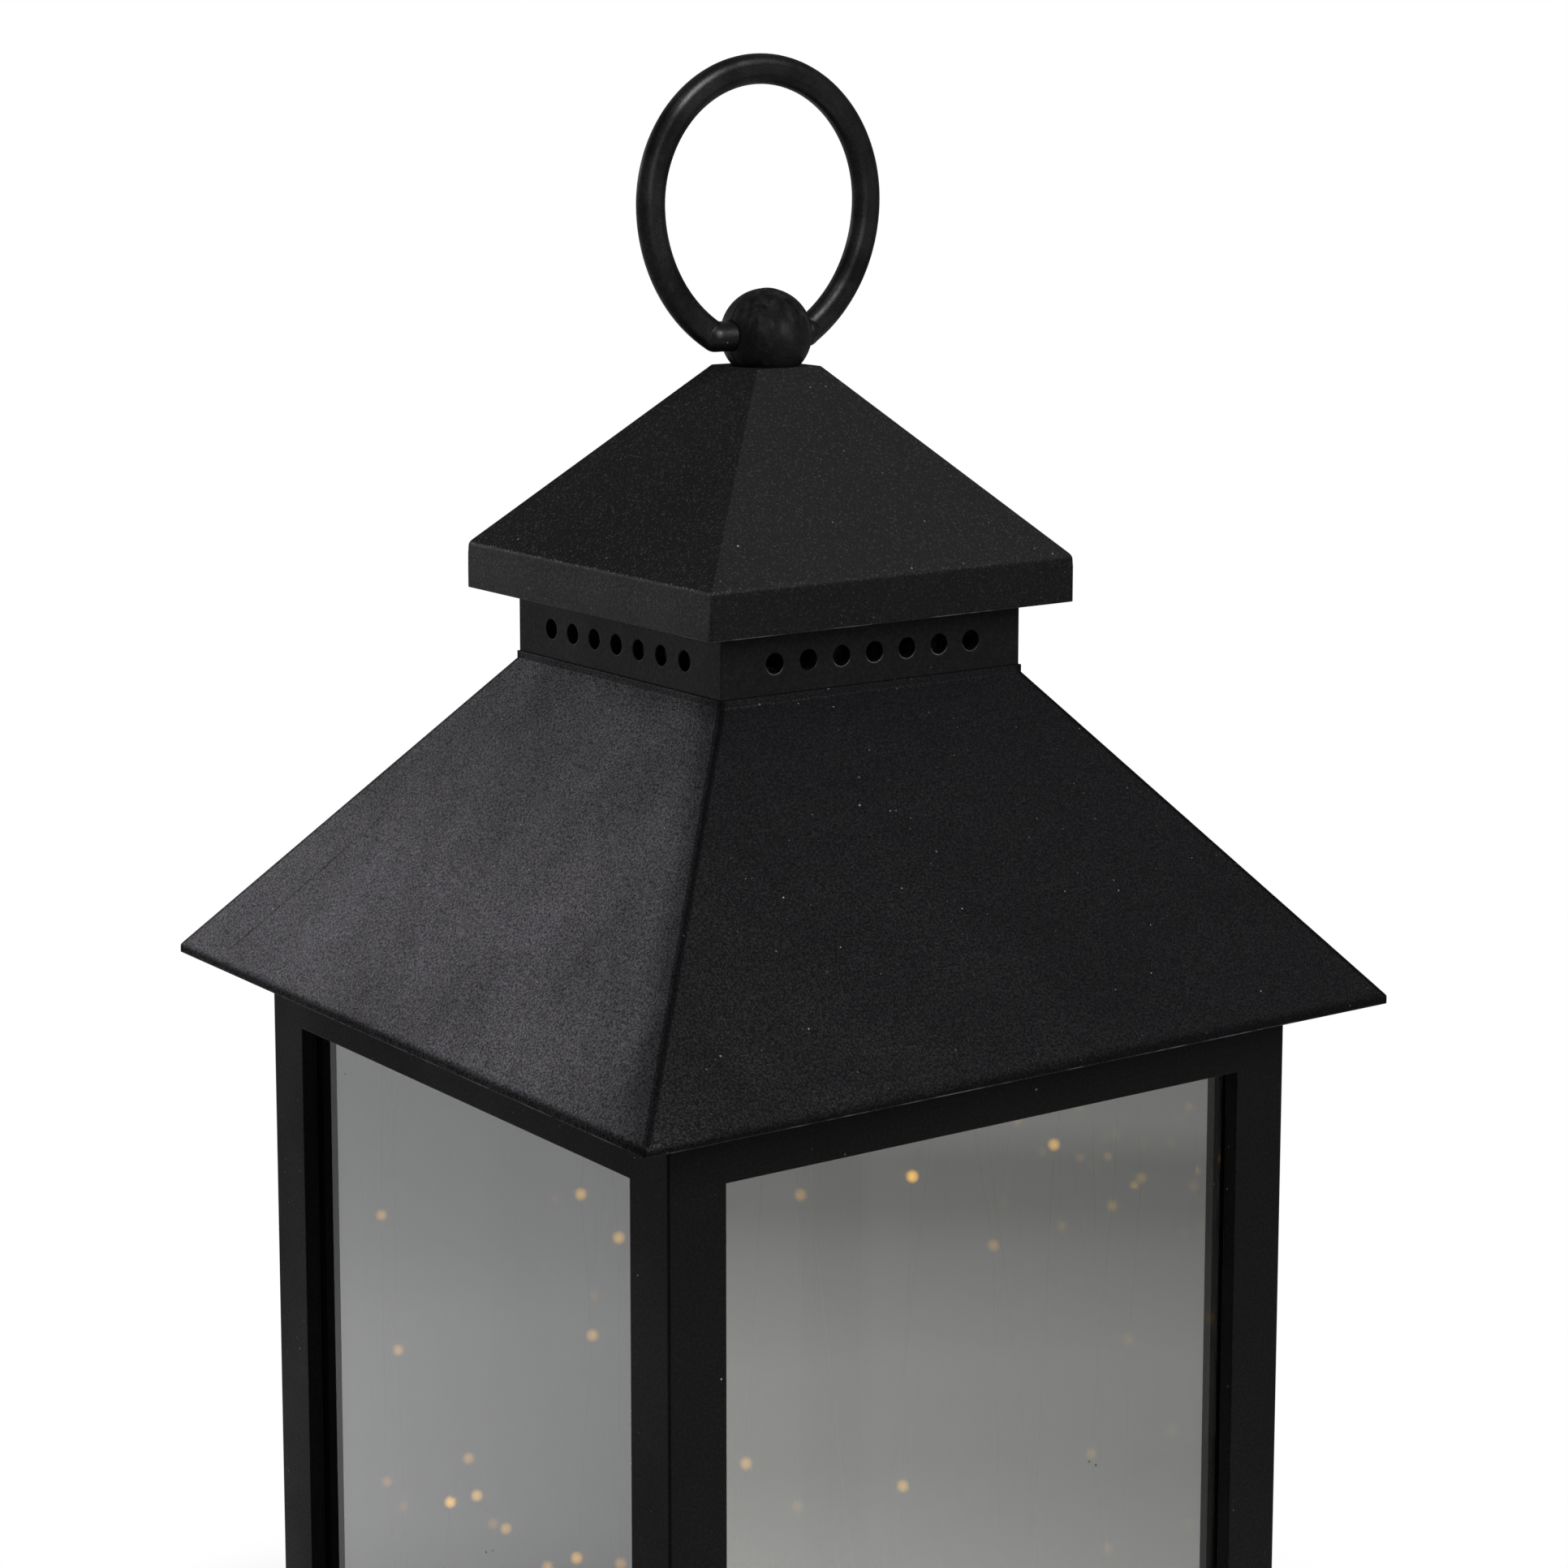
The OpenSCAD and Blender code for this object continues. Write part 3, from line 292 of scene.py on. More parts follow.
# --------------------------------------------------------------------------------------------------
# Finishes
# --------------------------------------------------------------------------------------------------
@dataclass(frozen=True)
class Plastic:
    """Moulded black plastic: spark-eroded grain, cloudy sheen, dust specks, softened edges, and painted shade
    and highlights.
    """

    colour: tuple[float, float, float]
    roughness: float = 0.5
    specular: float = 0.2
    grain_pitch: float = 0.3 * MM
    grain_height: float = 0.02 * MM
    cloud: float = 0.3
    cloud_size: float = 35.0 * MM
    specks: float = 0.0
    pits: float = 0.2
    sparkle: float = 0.0
    smudge: float = 0.0
    warp: float = 0.0
    # strength of the painted highlight on upturned edge roundings
    edge_highlight: float = 0.0
    edge: float = 0.35 * MM
    hips: bool = False
    scratch: tuple[tuple[float, float], ...] = ()
    lip: tuple[float, float] = (0.0, 0.0)
    # height of the top of the upright rim, whose tone carries painted shade
    skirt: float = 0.0

    def material(self, name: str) -> bpy.types.Material:
        """The node material.

        Args:
            name: the material's name.

        Returns:
            The material.
        """
        made = bpy.data.materials.new(name)
        g = Graph(made)
        place = g.place()
        axes = g.axes(place)
        fine = g.noise(place, 1.0 / self.grain_pitch, 2.0, 0.55)
        cloud = g.noise(place, 1.0 / self.cloud_size, 5.0, 0.6)
        dark = linear(self.colour)
        light = tuple(v * 1.6 for v in dark[:3]) + (1.0,)
        tone = g.mix(g.math("MULTIPLY", g.step(fine, 0.4, 0.75), 0.5), dark, light)
        tone = self._smudge(g, place, tone)
        rough, shine = self._sheen(g, place, fine, cloud)
        if self.skirt > 0.0:
            tone, rough, shine = self._skirt(g, axes, tone, rough, shine)
        if self.sparkle > 0.0:
            tone, rough, shine = self._sparkle(g, place, tone, rough, shine)
        if self.hips:
            shine = self._hip_shade(g, axes, cloud, shine)
        smooth = self._smooth_mask(g, axes)
        # the band along the hips and the eave's upright edge loses sheen and is toned darker; on the eave
        # this is painted shade
        shine = g.math("MULTIPLY", shine, g.blend(smooth, 1.0, 0.35))
        tone = g.mix(smooth, tone, tuple(v * 0.6 for v in dark[:3]) + (1.0,))
        soft_edge = g.node("ShaderNodeBevel", {"Radius": self.edge}, samples=4).outputs[0]
        tone = self._flash_line(g, place, axes[2], tone)
        # painted highlight on edges whose rounding turns up
        tone = self._painted_edge_highlight(g, place, soft_edge, tone)
        if self.scratch:
            shine = g.math("MULTIPLY", shine, g.blend(self._scratch_mask(g, place, axes), 1.0, 0.4))
        tone = self._dust(g, place, tone)
        normal = soft_edge
        if self.warp > 0.0:
            normal = g.bump(g.noise(place, 1.0 / SINK_PITCH, 2.0, 0.45), self.warp, normal)
        height = g.math("MULTIPLY", fine, g.math("SUBTRACT", 1.0, smooth))
        normal = g.bump(height, self.grain_height, normal)
        shader = g.node(
            "ShaderNodeBsdfPrincipled",
            {"Base Color": tone, "Roughness": rough, "Specular IOR Level": shine, "Normal": normal},
        )
        g.finish(shader.outputs[0])
        return made

    def _sheen(self, g: Graph, place, fine, cloud) -> tuple[bpy.types.NodeSocket, bpy.types.NodeSocket]:
        """Roughness and specular level, cloudy over the face and stronger on the tips of the grain."""
        streak = g.noise(g.stretched(place, (60.0, 60.0, 240.0)), 1.0, 3.0)
        rough = g.math("ADD", self.roughness, g.math("MULTIPLY", g.math("SUBTRACT", 0.5, cloud), 0.3))
        rough = g.math("ADD", rough, g.math("MULTIPLY", g.math("SUBTRACT", streak, 0.5), 0.06))
        tips = g.math("POWER", g.step(fine, 0.28, 0.72), 1.6)
        tips = g.blend(tips, 1.0 - 0.8 * self.pits, 1.0 + 1.4 * self.pits)
        patches = g.blend(self.cloud, 1.0, g.step(cloud, 0.3, 0.7))
        return rough, g.product(self.specular, patches, tips)

    def _skirt(self, g: Graph, axes, tone, rough, shine) -> tuple:
        """The upright rim below the slopes: painted shade makes it darker; it is also smoother and glossier,
        most of all on its left and right sides.
        """
        upright = g.step(axes[2], self.skirt + EDGE_FADE, self.skirt - EDGE_FADE)
        flank = g.step(g.from_diagonal(*axes[:2]), -EDGE_FADE, EDGE_FADE)
        shine = g.math("MULTIPLY", shine, g.blend(upright, 1.0, g.blend(flank, 2.6, 6.0)))
        rough = g.math("SUBTRACT", rough, g.math("MULTIPLY", upright, 0.38))
        # painted shade: the rim's tone is multiplied darker
        return g.mix(upright, tone, (0.3, 0.3, 0.3, 1.0), "MULTIPLY"), rough, shine

    def _hip_shade(self, g: Graph, axes, cloud, shine) -> bpy.types.NodeSocket:
        """Painted shade on the sheen: less of it beside the front hips, and high up under the cap."""
        x, y, z = axes
        inside = g.from_diagonal(x, y)
        near = g.math("ADD", inside, g.math("MULTIPLY", g.math("SUBTRACT", cloud, 0.5), 6 * MM))
        beside_hip = g.product(g.step(near, 9 * MM, 1 * MM), g.step(inside, -EDGE_FADE, EDGE_FADE),
                        g.step(y, 10 * MM, -10 * MM))
        # painted shade high up under the cap
        high = g.step(z, self.lip[0] + 34 * MM, self.lip[0] + 50 * MM)
        return g.product(shine, g.blend(beside_hip, 1.0, 0.35), g.blend(high, 1.0, 0.82))

    def _smooth_mask(self, g: Graph, axes) -> bpy.types.NodeSocket | float:
        """1 on a narrow band along the hips and on the upright edge of the eave, else 0; the band is toned
        darker and less glossy, which on the eave is painted shade.
        """
        if not self.hips:
            return 0.0
        rubbed = g.step(g.math("ABSOLUTE", g.from_diagonal(*axes[:2])), 1.1 * MM, 0.5 * MM)
        band = g.step(axes[2], self.lip[0] + 2 * MM, self.lip[0] + 1 * MM)
        return g.math("MAXIMUM", rubbed, band)

    def _flash_line(self, g: Graph, place, z, tone) -> bpy.types.NodeSocket:
        """A broken pale line of mould flash along the lip's lower edge."""
        if self.lip[1] <= 0.0:
            return tone
        line = g.step(z, self.lip[0] + self.lip[1], self.lip[0] + 0.5 * self.lip[1])
        broken = g.step(g.noise(place, 90.0, 3.0, 0.7), 0.45, 0.62)
        return g.mix(g.math("MULTIPLY", line, g.blend(broken, 0.1, 0.8)), tone, linear((88, 86, 90)))

    def _scratch_mask(self, g: Graph, place, axes) -> bpy.types.NodeSocket:
        """1 on a fine, broken, straight scratch of the left face.

        Its two ends are given by their y and z; a point's distance along the line and aside from it are the
        two turned coordinates of (y, z).
        """
        x, y, z = axes
        (y0, z0), (y1, z1) = self.scratch
        length = math.hypot(y1 - y0, z1 - z0)
        run_y, run_z = (y1 - y0) / length, (z1 - z0) / length
        from_y, from_z = g.math("SUBTRACT", y, y0), g.math("SUBTRACT", z, z0)
        along = g.math("ADD", g.math("MULTIPLY", from_y, run_y), g.math("MULTIPLY", from_z, run_z))
        aside = g.math("SUBTRACT", g.math("MULTIPLY", from_y, run_z), g.math("MULTIPLY", from_z, run_y))
        return g.product(
            g.step(g.math("ABSOLUTE", aside), 0.36 * MM, 0.1 * MM), g.step(along, 0.0, 2 * MM),
            g.step(along, length, length - 2 * MM), g.step(x, 0.0, -1 * MM),
            g.step(g.noise(place, 260.0, 2.0), 0.25, 0.45),
        )

    def _painted_edge_highlight(self, g: Graph, place, soft_edge, tone) -> bpy.types.NodeSocket:
        """Painted highlight: a pale line where an edge's rounding turns up, as at the lower rim of a hole."""
        if self.edge_highlight <= 0.0:
            return tone
        flat = g.axes(g.node("ShaderNodeNewGeometry").outputs["True Normal"])[2]
        lean = g.math("SUBTRACT", g.axes(soft_edge)[2], flat)
        broken = g.step(g.noise(place, 300.0, 2.0), 0.3, 0.6)
        level = g.math("MULTIPLY", g.step(lean, 0.1, 0.5), g.math("MULTIPLY", broken, self.edge_highlight))
        # painted highlight: pale tone on the upturned rounding of edges
        return g.mix(level, tone, linear((110, 109, 110)))

    def _sparkle(self, g: Graph, place, tone, rough, shine) -> tuple:
        """Glinting tips of the grain, a few to each square millimetre, of every strength up to sparkle."""
        cells = g.node("ShaderNodeTexVoronoi", {"Vector": place, "Scale": 3600.0})
        pick = g.axes(cells.outputs["Color"])
        tip = g.step(cells.outputs["Distance"], 0.8, 0.2)
        spark = g.math("MULTIPLY", tip, g.math("MULTIPLY", g.math("POWER", pick[0], 6.0), self.sparkle))
        shine = g.math("ADD", shine, g.math("MULTIPLY", spark, 0.9))
        rough = g.math("MAXIMUM", g.math("SUBTRACT", rough, g.math("MULTIPLY", spark, 0.6)), 0.3)
        # painted glint: each glinting tip also gets a pale tone
        return g.mix(g.math("MULTIPLY", spark, 0.04), tone, linear((150, 148, 148))), rough, shine

    def _smudge(self, g: Graph, place, tone) -> bpy.types.NodeSocket:
        """Pale rubbed patches, streaky along their length."""
        if self.smudge <= 0.0:
            return tone
        patch = g.step(g.noise(place, 130.0, 3.0, 0.6), 0.48, 0.7)
        rub = g.noise(g.stretched(place, (900.0, 900.0, 200.0), (0.6, 0.3, 0.2)), 1.0, 3.0, 0.6)
        level = g.product(patch, g.step(rub, 0.35, 0.7), self.smudge)
        return g.mix(level, tone, linear((78, 77, 77)))

    def _dust(self, g: Graph, place, tone) -> bpy.types.NodeSocket:
        """Pale dust of every size and strength; specks is the share of 1 mm cells that hold a speck."""
        if self.specks <= 0.0:
            return tone
        cells = g.node("ShaderNodeTexVoronoi", {"Vector": place, "Scale": 1000.0})
        pick = g.axes(cells.outputs["Color"])
        size = g.math("MULTIPLY_ADD", g.math("POWER", pick[1], 3.0), 0.12, 0.06)
        chosen = g.math("LESS_THAN", pick[0], self.specks)
        spot = g.step(g.math("SUBTRACT", cells.outputs["Distance"], size), 0.02, -0.02)
        level = g.math("MULTIPLY_ADD", g.math("POWER", pick[2], 3.0), 0.75, 0.12)
        return g.mix(g.product(spot, chosen, level), tone, linear((178, 174, 176)))


@dataclass(frozen=True)
class MirrorPane:
    """Clear sheet whose inner face carries a half-reflecting film."""

    film_at: float
    reflect: float = 0.56
    tint: tuple[float, float, float] = (228, 229, 225)
    smoke: tuple[float, float, float] = (140, 140, 138)

    def material(self, name: str) -> bpy.types.Material:
        """The node material: bare refracting sheet outside, film on the face that is nearer the middle."""
        made = bpy.data.materials.new(name)
        g = Graph(made)
        place = g.place()
        x, y, _ = g.axes(place)
        out = g.math("MAXIMUM", g.math("ABSOLUTE", x), g.math("ABSOLUTE", y))
        outside = g.math("GREATER_THAN", out, self.film_at)
        wave = g.noise(place, 9.0, 2.0, 0.4)
        ripple = g.node("ShaderNodeBump", {"Strength": 0.12, "Distance": 0.4 * MM, "Height": wave}).outputs[0]
        clear = g.node("ShaderNodeBsdfGlass", {"Color": (1, 1, 1, 1), "Roughness": 0.0, "IOR": 1.49})
        cells = g.node("ShaderNodeTexVoronoi", {"Vector": place, "Scale": 90.0})
        spot = g.math("LESS_THAN", cells.outputs["Distance"], 0.018)
        dirt = g.node("ShaderNodeBsdfDiffuse", {"Color": linear((40, 36, 32))})
        outer = g.shader_mix(g.math("MULTIPLY", spot, 0.7), clear.outputs[0], dirt.outputs[0])
        film = g.node(
            "ShaderNodeBsdfGlossy", {"Color": linear(self.tint), "Roughness": 0.0, "Normal": ripple}
        )
        through = g.node(
            "ShaderNodeBsdfRefraction", {"Color": linear(self.smoke), "Roughness": 0.0, "IOR": 1.49}
        )
        haze = g.node("ShaderNodeBsdfDiffuse", {"Color": linear((70, 72, 70))})
        half = g.shader_mix(self.reflect, through.outputs[0], film.outputs[0])
        half = g.shader_mix(0.03, half, haze.outputs[0])
        g.finish(g.shader_mix(outside, half, outer))
        return made


@dataclass(frozen=True)
class Metal:
    """Plated metal with fine drawn lines."""

    colour: tuple[float, float, float] = (178, 178, 180)
    roughness: float = 0.3

    def material(self, name: str) -> bpy.types.Material:
        """The node material."""
        made = bpy.data.materials.new(name)
        g = Graph(made)
        place = g.place()
        lines = g.noise(g.stretched(place, (3000.0, 3000.0, 300.0)), 1.0)
        stain = g.noise(place, 400.0, 3.0)
        tone = g.mix(g.math("MULTIPLY", stain, 0.35), linear(self.colour), linear((118, 112, 104)))
        rough = g.math("ADD", self.roughness, g.math("MULTIPLY", lines, 0.2))
        shader = g.node(
            "ShaderNodeBsdfPrincipled", {"Base Color": tone, "Metallic": 1.0, "Roughness": rough}
        )
        g.finish(shader.outputs[0])
        return made


@dataclass(frozen=True)
class Coat:
    """Soft or lacquered skin with a light mottling: rubber, insulation, sleeve, laminate."""

    colour: tuple[float, float, float]
    roughness: float = 0.45
    specular: float = 0.5
    mottle: float = 0.25
    pitch: float = 0.8 * MM

    def material(self, name: str) -> bpy.types.Material:
        """The node material."""
        made = bpy.data.materials.new(name)
        g = Graph(made)
        place = g.place()
        spots = g.noise(place, 1.0 / self.pitch, 3.0)
        base = linear(self.colour)
        tone = g.mix(
            g.math("MULTIPLY", spots, self.mottle), base, tuple(v * 0.5 for v in base[:3]) + (1.0,)
        )
        bump = g.node("ShaderNodeBump", {"Strength": 0.4, "Distance": 0.02 * MM, "Height": spots}).outputs[0]
        shader = g.node(
            "ShaderNodeBsdfPrincipled",
            {"Base Color": tone, "Roughness": self.roughness, "Specular IOR Level": self.specular,
             "Normal": bump},
        )
        g.finish(shader.outputs[0])
        return made


@dataclass(frozen=True)
class Glow:
    """Clear epoxy drop with a lit chip in its middle: bright core, fading to clear at the outline."""

    colour: tuple[float, float, float] = (255, 194, 66)
    strength: float = 6.8

    def material(self, name: str) -> bpy.types.Material:
        """The node material; the mesh's own glow attribute sets how strongly each drop is lit."""
        made = bpy.data.materials.new(name)
        g = Graph(made)
        facing = g.node("ShaderNodeLayerWeight", {"Blend": 0.5}).outputs["Facing"]
        core = g.math("POWER", g.math("SUBTRACT", 1.0, facing, clamp=True), 3.0)
        level = g.node("ShaderNodeAttribute", attribute_name="glow").outputs["Fac"]
        front = g.math("SUBTRACT", 1.0, g.node("ShaderNodeNewGeometry").outputs["Backfacing"])
        power = g.math("MULTIPLY", g.math("MULTIPLY", core, front), g.math("MULTIPLY", level, self.strength))
        glow = g.node("ShaderNodeEmission", {"Color": linear(self.colour), "Strength": power})
        clear = g.node("ShaderNodeBsdfTransparent", {"Color": (1, 0.96, 0.9, 1)})
        both = g.node("ShaderNodeAddShader", {0: glow.outputs[0], 1: clear.outputs[0]})
        g.finish(both.outputs[0])
        return made


def frame_black() -> Plastic:
    """Smooth matte black of the side frames."""
    return Plastic((16, 16, 16), 0.42, 0.09, 0.5 * MM, 0.008 * MM, 0.3, specks=0.03)


# --------------------------------------------------------------------------------------------------
# Sub-assemblies
# --------------------------------------------------------------------------------------------------
@dataclass
class Assembly:
    """A group of CAD nodes and new pieces that are dressed together."""

    name: str
    finishes: dict[str, object] = field(default_factory=dict)

    def build(self) -> list[bpy.types.Object]:
        """Makes the assembly's new pieces; most have none."""
        return []

    def dress(self) -> None:
        """Gives each CAD node of the assembly its finish."""
        for node, finish in self.finishes.items():
            material = finish.material(f"{node}_finish")
            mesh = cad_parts[node].data
            mesh.materials.clear()
            mesh.materials.append(material)
            LOG.info("%s: %s", self.name, node)


@dataclass
class SideFrames(Assembly):
    """Four mitred side frames whose inner mitre edges meet, so that no light passes along a seam."""

    inner: float = 53.0 * MM
    reach: float = 0.2 * MM

    def build(self) -> list[bpy.types.Object]:
        """One moulding for each frame.

        Returns:
            The four pieces.
        """
        return [self._moulding(f"frame_{side}") for side in SIDES]

    def _moulding(self, node: str) -> bpy.types.Object:
        """The frame's surface; each point within reach of an inner corner line moves to |x| = |y| = inner."""
        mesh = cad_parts[node].data.copy()
        mesh.name = f"{node}_moulding"
        flat = np.empty(len(mesh.vertices) * 3, dtype=np.float32)
        mesh.vertices.foreach_get("co", flat)
        across = flat.reshape(-1, 3)[:, :2]
        corner = np.all(np.abs(np.abs(across) - self.inner) < self.reach, axis=1)[:, None]
        across[:] = np.where(corner, np.sign(across) * self.inner, across)
        mesh.vertices.foreach_set("co", flat)
        mesh.update()
        made = bpy.data.objects.new(mesh.name, mesh)
        bpy.context.scene.collection.objects.link(made)
        mesh.materials.clear()
        mesh.materials.append(frame_black().material(f"{node}_finish"))
        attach(made, "lantern")
        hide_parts(node)
        return made


class Turn(Enum):
    """A station of the light string that is a turn round a hook, with the height of its pin."""

    LOW = 24.6
    HIGH = 163.7


@dataclass
class LightString(Assembly):
    """Two-strand light wire on its hooks, with a lit drop at each light."""

    strand_r: float = 0.075 * MM
    lay: float = 3.0 * MM
    drop_r: float = 1.2 * MM
    turn_r: float = 1.15 * MM
    plane: float = 46.0 * MM
    spacing: float = 0.8 * MM

    def stations(self) -> list[tuple[int, float, float | Turn, float]]:
        """Side, distance along it, height and brightness of every light, and the turns between them.

        Side -1 is the left one and they follow each other anticlockwise; lengths are in millimetres.
        """
        high, low = Turn.HIGH, Turn.LOW
        return [
            (-1, -44.5, 76, 0.2), (-1, -45, 122.5, 0.35), (-1, -42, high, 0), (-1, -40, 100.5, 0.38),
            (-1, -39, 73.5, 0.12), (-1, -33, low, 0), (-1, -23.5, 79.5, 0.9), (-1, -17.5, 89, 0.34),
            (-1, -15, 83.5, 0.65), (-1, -10, 80.5, 0.15), (-1, -6, 81, 0.42), (-1, 6.5, 79, 0.38),
            (-1, 15, 83.5, 0.6), (-1, 20, 121, 0.4), (-1, 17, 142.5, 0.47), (-1, 22, high, 0),
            (-1, 27.5, 138.5, 0.47), (-1, 27.5, 87, 0.28), (-1, 34, low, 0), (0, -37, 107, 0.42),
            (0, -32, high, 0), (0, -27, 146.5, 0.24), (0, -27.5, 98, 0.1), (0, -17, low, 0),
            (0, -7.5, 96.5, 0.45), (0, -6, 145.5, 1.0), (0, 2, high, 0), (0, 10, 131.5, 0.2),
            (0, 15, low, 0), (0, 22, 145.5, 0.62), (0, 28, high, 0), (0, 37, low, 0), (1, -37, 106, 0.07),
            (1, -39.5, 134, 0.13), (1, -36, high, 0), (1, -32.5, 127.5, 0.14), (1, -28, 83.5, 0.13),
            (1, -32.5, 68.5, 0.08), (1, -24, low, 0), (1, 8, high, 0), (1, 34, low, 0), (2, -34, high, 0),
            (2, -19, 118, 0.2), (2, -14, low, 0), (2, -8, 92, 0.2), (2, -10, 132, 0.2), (2, 2, high, 0),
        ]

    def on_side(self, side: int, along: float, height: float) -> tuple[float, float, float]:
        """Point on a side's plane, in metres."""
        turn = side * math.pi / 2
        across, up = along * MM, height * MM
        return (across * math.cos(turn) + self.plane * math.sin(turn),
                across * math.sin(turn) - self.plane * math.cos(turn), up)

    def route(self) -> np.ndarray:
        """The wire's route: from the board through the floor, then from station to station.

        Returns:
            (n, 3) points; a turn adds three of them round its pin.
        """
        points = [tuple(v * MM for v in p) for p in (
            (12, -32, 12.8), (18, -31.5, 14.6), (30, -30, 17), (30, -30, 23.4), (26, -27, 22.6),
            (-20, 10, 21.7), (-42, 42, 21.8),
        )]
        radius = self.turn_r / MM
        for side, along, height, _ in self.stations():
            if isinstance(height, Turn):
                sense = 1 if height is Turn.HIGH else -1
                for angle in (-math.pi / 2, 0.0, math.pi / 2):
                    points.append(self.on_side(side, along + radius * math.sin(angle),
                                               height.value + sense * radius * math.cos(angle)))
            else:
                points.append(self.on_side(side, along, height))
        return np.array(points)

    def build(self) -> list[bpy.types.Object]:
        """Twisted strands and drops.

        Returns:
            The two pieces.
        """
        return [self._strands(), self._drops()]

    def _strands(self) -> bpy.types.Object:
        """Strand s at arc length t, angle v: path(t) + side offset turned by the lay + strand_r circle(v)."""
        path = Surface.even_route(self.route(), self.spacing, 3)
        side, lift = Surface.sides(path)
        turn = 2 * math.pi * np.arange(len(path)) * self.spacing / self.lay
        points, faces = [], []
        for strand in (0, 1):
            phase = (turn + strand * math.pi)[:, None]
            middle = path + self.strand_r * (np.cos(phase) * side + np.sin(phase) * lift)
            points.append(Surface.tube(middle, side, lift, self.strand_r, STRAND_SIDES))
            faces.append(Surface.grid_faces(len(path), STRAND_SIDES) + strand * len(path) * STRAND_SIDES)
        made = Surface.mesh_object("light_strands", np.concatenate(points), np.concatenate(faces))
        made.data.materials.append(Coat((120, 84, 52), 0.3, 0.5, 0.3, 1.0 * MM).material("strand_lacquer"))
        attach(made, "lantern")
        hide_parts("light_wire")
        return made

    def _drops(self) -> bpy.types.Object:
        """Ball at angle u from pole to pole and v around: drop_r (sin u cos v, sin u sin v, -cos u)."""
        lights = [(self.on_side(side, along, height), glow)
                  for side, along, height, glow in self.stations() if not isinstance(height, Turn)]
        middles = np.array([place for place, _ in lights])
        u = np.linspace(0.03, math.pi - 0.03, 15)
        v = np.linspace(0, 2 * math.pi, 20, endpoint=False)
        ball = self.drop_r * np.stack(
            [np.outer(np.sin(u), np.cos(v)), np.outer(np.sin(u), np.sin(v)),
             np.outer(-np.cos(u), np.ones(len(v)))], axis=-1
        ).reshape(-1, 3)
        points = (middles[:, None, :] + ball[None]).reshape(-1, 3)
        one = Surface.grid_faces(len(u), len(v))
        faces = (one[None] + (np.arange(len(lights)) * len(ball))[:, None, None]).reshape(-1, 4)
        made = Surface.mesh_object("light_drops", points, faces)
        glow = made.data.attributes.new("glow", "FLOAT", "POINT")
        glow.data.foreach_set("value", np.repeat([level for _, level in lights], len(ball)))
        made.data.materials.append(Glow().material("drop_glow"))
        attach(made, "lantern")
        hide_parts("light_beads")
        return made


@dataclass
class Leads(Assembly):
    """Red and black leads from the battery contacts to the board."""

    radius: float = 0.6 * MM

    def build(self) -> list[bpy.types.Object]:
        """One smooth tube for each lead."""
        red = [[25.2, 23.3, 13], [28.8, 23, 13.5], [35.8, 18, 12], [35.8, 0, 9], [32, -18, 10],
               [24, -26, 13], [17, -29, 12.8]]
        black = [[25.2, 0.7, 13], [27.8, 0.4, 13.5], [31.8, -4, 12], [26, -14, 11], [18, -22, 13],
                 [12, -27, 12.8]]
        return [self._tube("lead_red", red, (150, 24, 20)), self._tube("lead_black", black, (24, 24, 24))]

    def _tube(self, node: str, points: list, colour: tuple[float, float, float]) -> bpy.types.Object:
        """Tube of radius r round the rounded route: path(t) + r (cos v side + sin v lift)."""
        path = Surface.even_route(np.array(points, float) * MM, 0.8 * MM, 5)
        skin = Surface.tube(path, *Surface.sides(path), self.radius, LEAD_SIDES)
        made = Surface.mesh_object(f"{node}_tube", skin, Surface.grid_faces(len(path), LEAD_SIDES))
        made.data.materials.append(Coat(colour, 0.35, 0.5).material(f"{node}_skin"))
        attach(made, "lantern")
        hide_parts(node)
        return made


# --------------------------------------------------------------------------------------------------
# Studio
# --------------------------------------------------------------------------------------------------
@dataclass(frozen=True)
class Softbox:
    """Square area light that looks at the lantern from a direction."""

    name: str
    towards: tuple[float, float, float]
    distance: float
    size: float
    power: float
    colour: tuple[float, float, float] = (255, 255, 255)

    def build(self, target: Vector) -> bpy.types.Object:
        """Makes the light.

        Args:
            target: the point that it faces.

        Returns:
            The light's object.
        """
        lamp = bpy.data.lights.new(self.name, "AREA")
        lamp.size = self.size
        lamp.energy = self.power
        lamp.color = linear(self.colour)[:3]
        made = bpy.data.objects.new(self.name, lamp)
        made.location = target + Vector(self.towards).normalized() * self.distance
        made.rotation_euler = (target - made.location).to_track_quat("-Z", "Y").to_euler()
        bpy.context.scene.collection.objects.link(made)
        return made


# Level of the dim studio that reflections see: (height from 0 at the bottom to 1 at the top, level)
SKY = [(0.0, 0.27), (0.48, 0.27), (0.6, 0.17), (1.0, 0.17)]
# Level of the sweep that reflections see: (distance from the lantern in metres, level)
FLOOR_FRONT = [(0.24, 0.59), (0.30, 0.50), (0.36, 0.50), (0.44, 0.39), (0.48, 0.31), (0.52, 0.30),
               (0.56, 0.40), (0.72, 0.38), (0.95, 0.10)]
FLOOR_BACK = [(0.20, 0.54), (0.24, 0.58), (0.32, 0.54), (0.36, 0.52), (0.42, 0.44), (0.48, 0.40),
              (0.56, 0.37)]
# How the sweep's level falls off sideways: (share of |x| in the distance at which it is 1, slope)
FALL_FRONT, FALL_BACK = (0.54, 1.04), (0.63, 1.54)
BOXES = (
    Softbox("box_back_left", (-0.38, 0.86, 0.33), 1.4, 0.65, 2.0, (249, 244, 255)),
    Softbox("box_front", (0.15, -0.85, 0.5), 1.6, 0.8, 20.0),
    Softbox("box_top", (-0.42, -0.5, 0.76), 1.6, 0.4, 2.2),
)


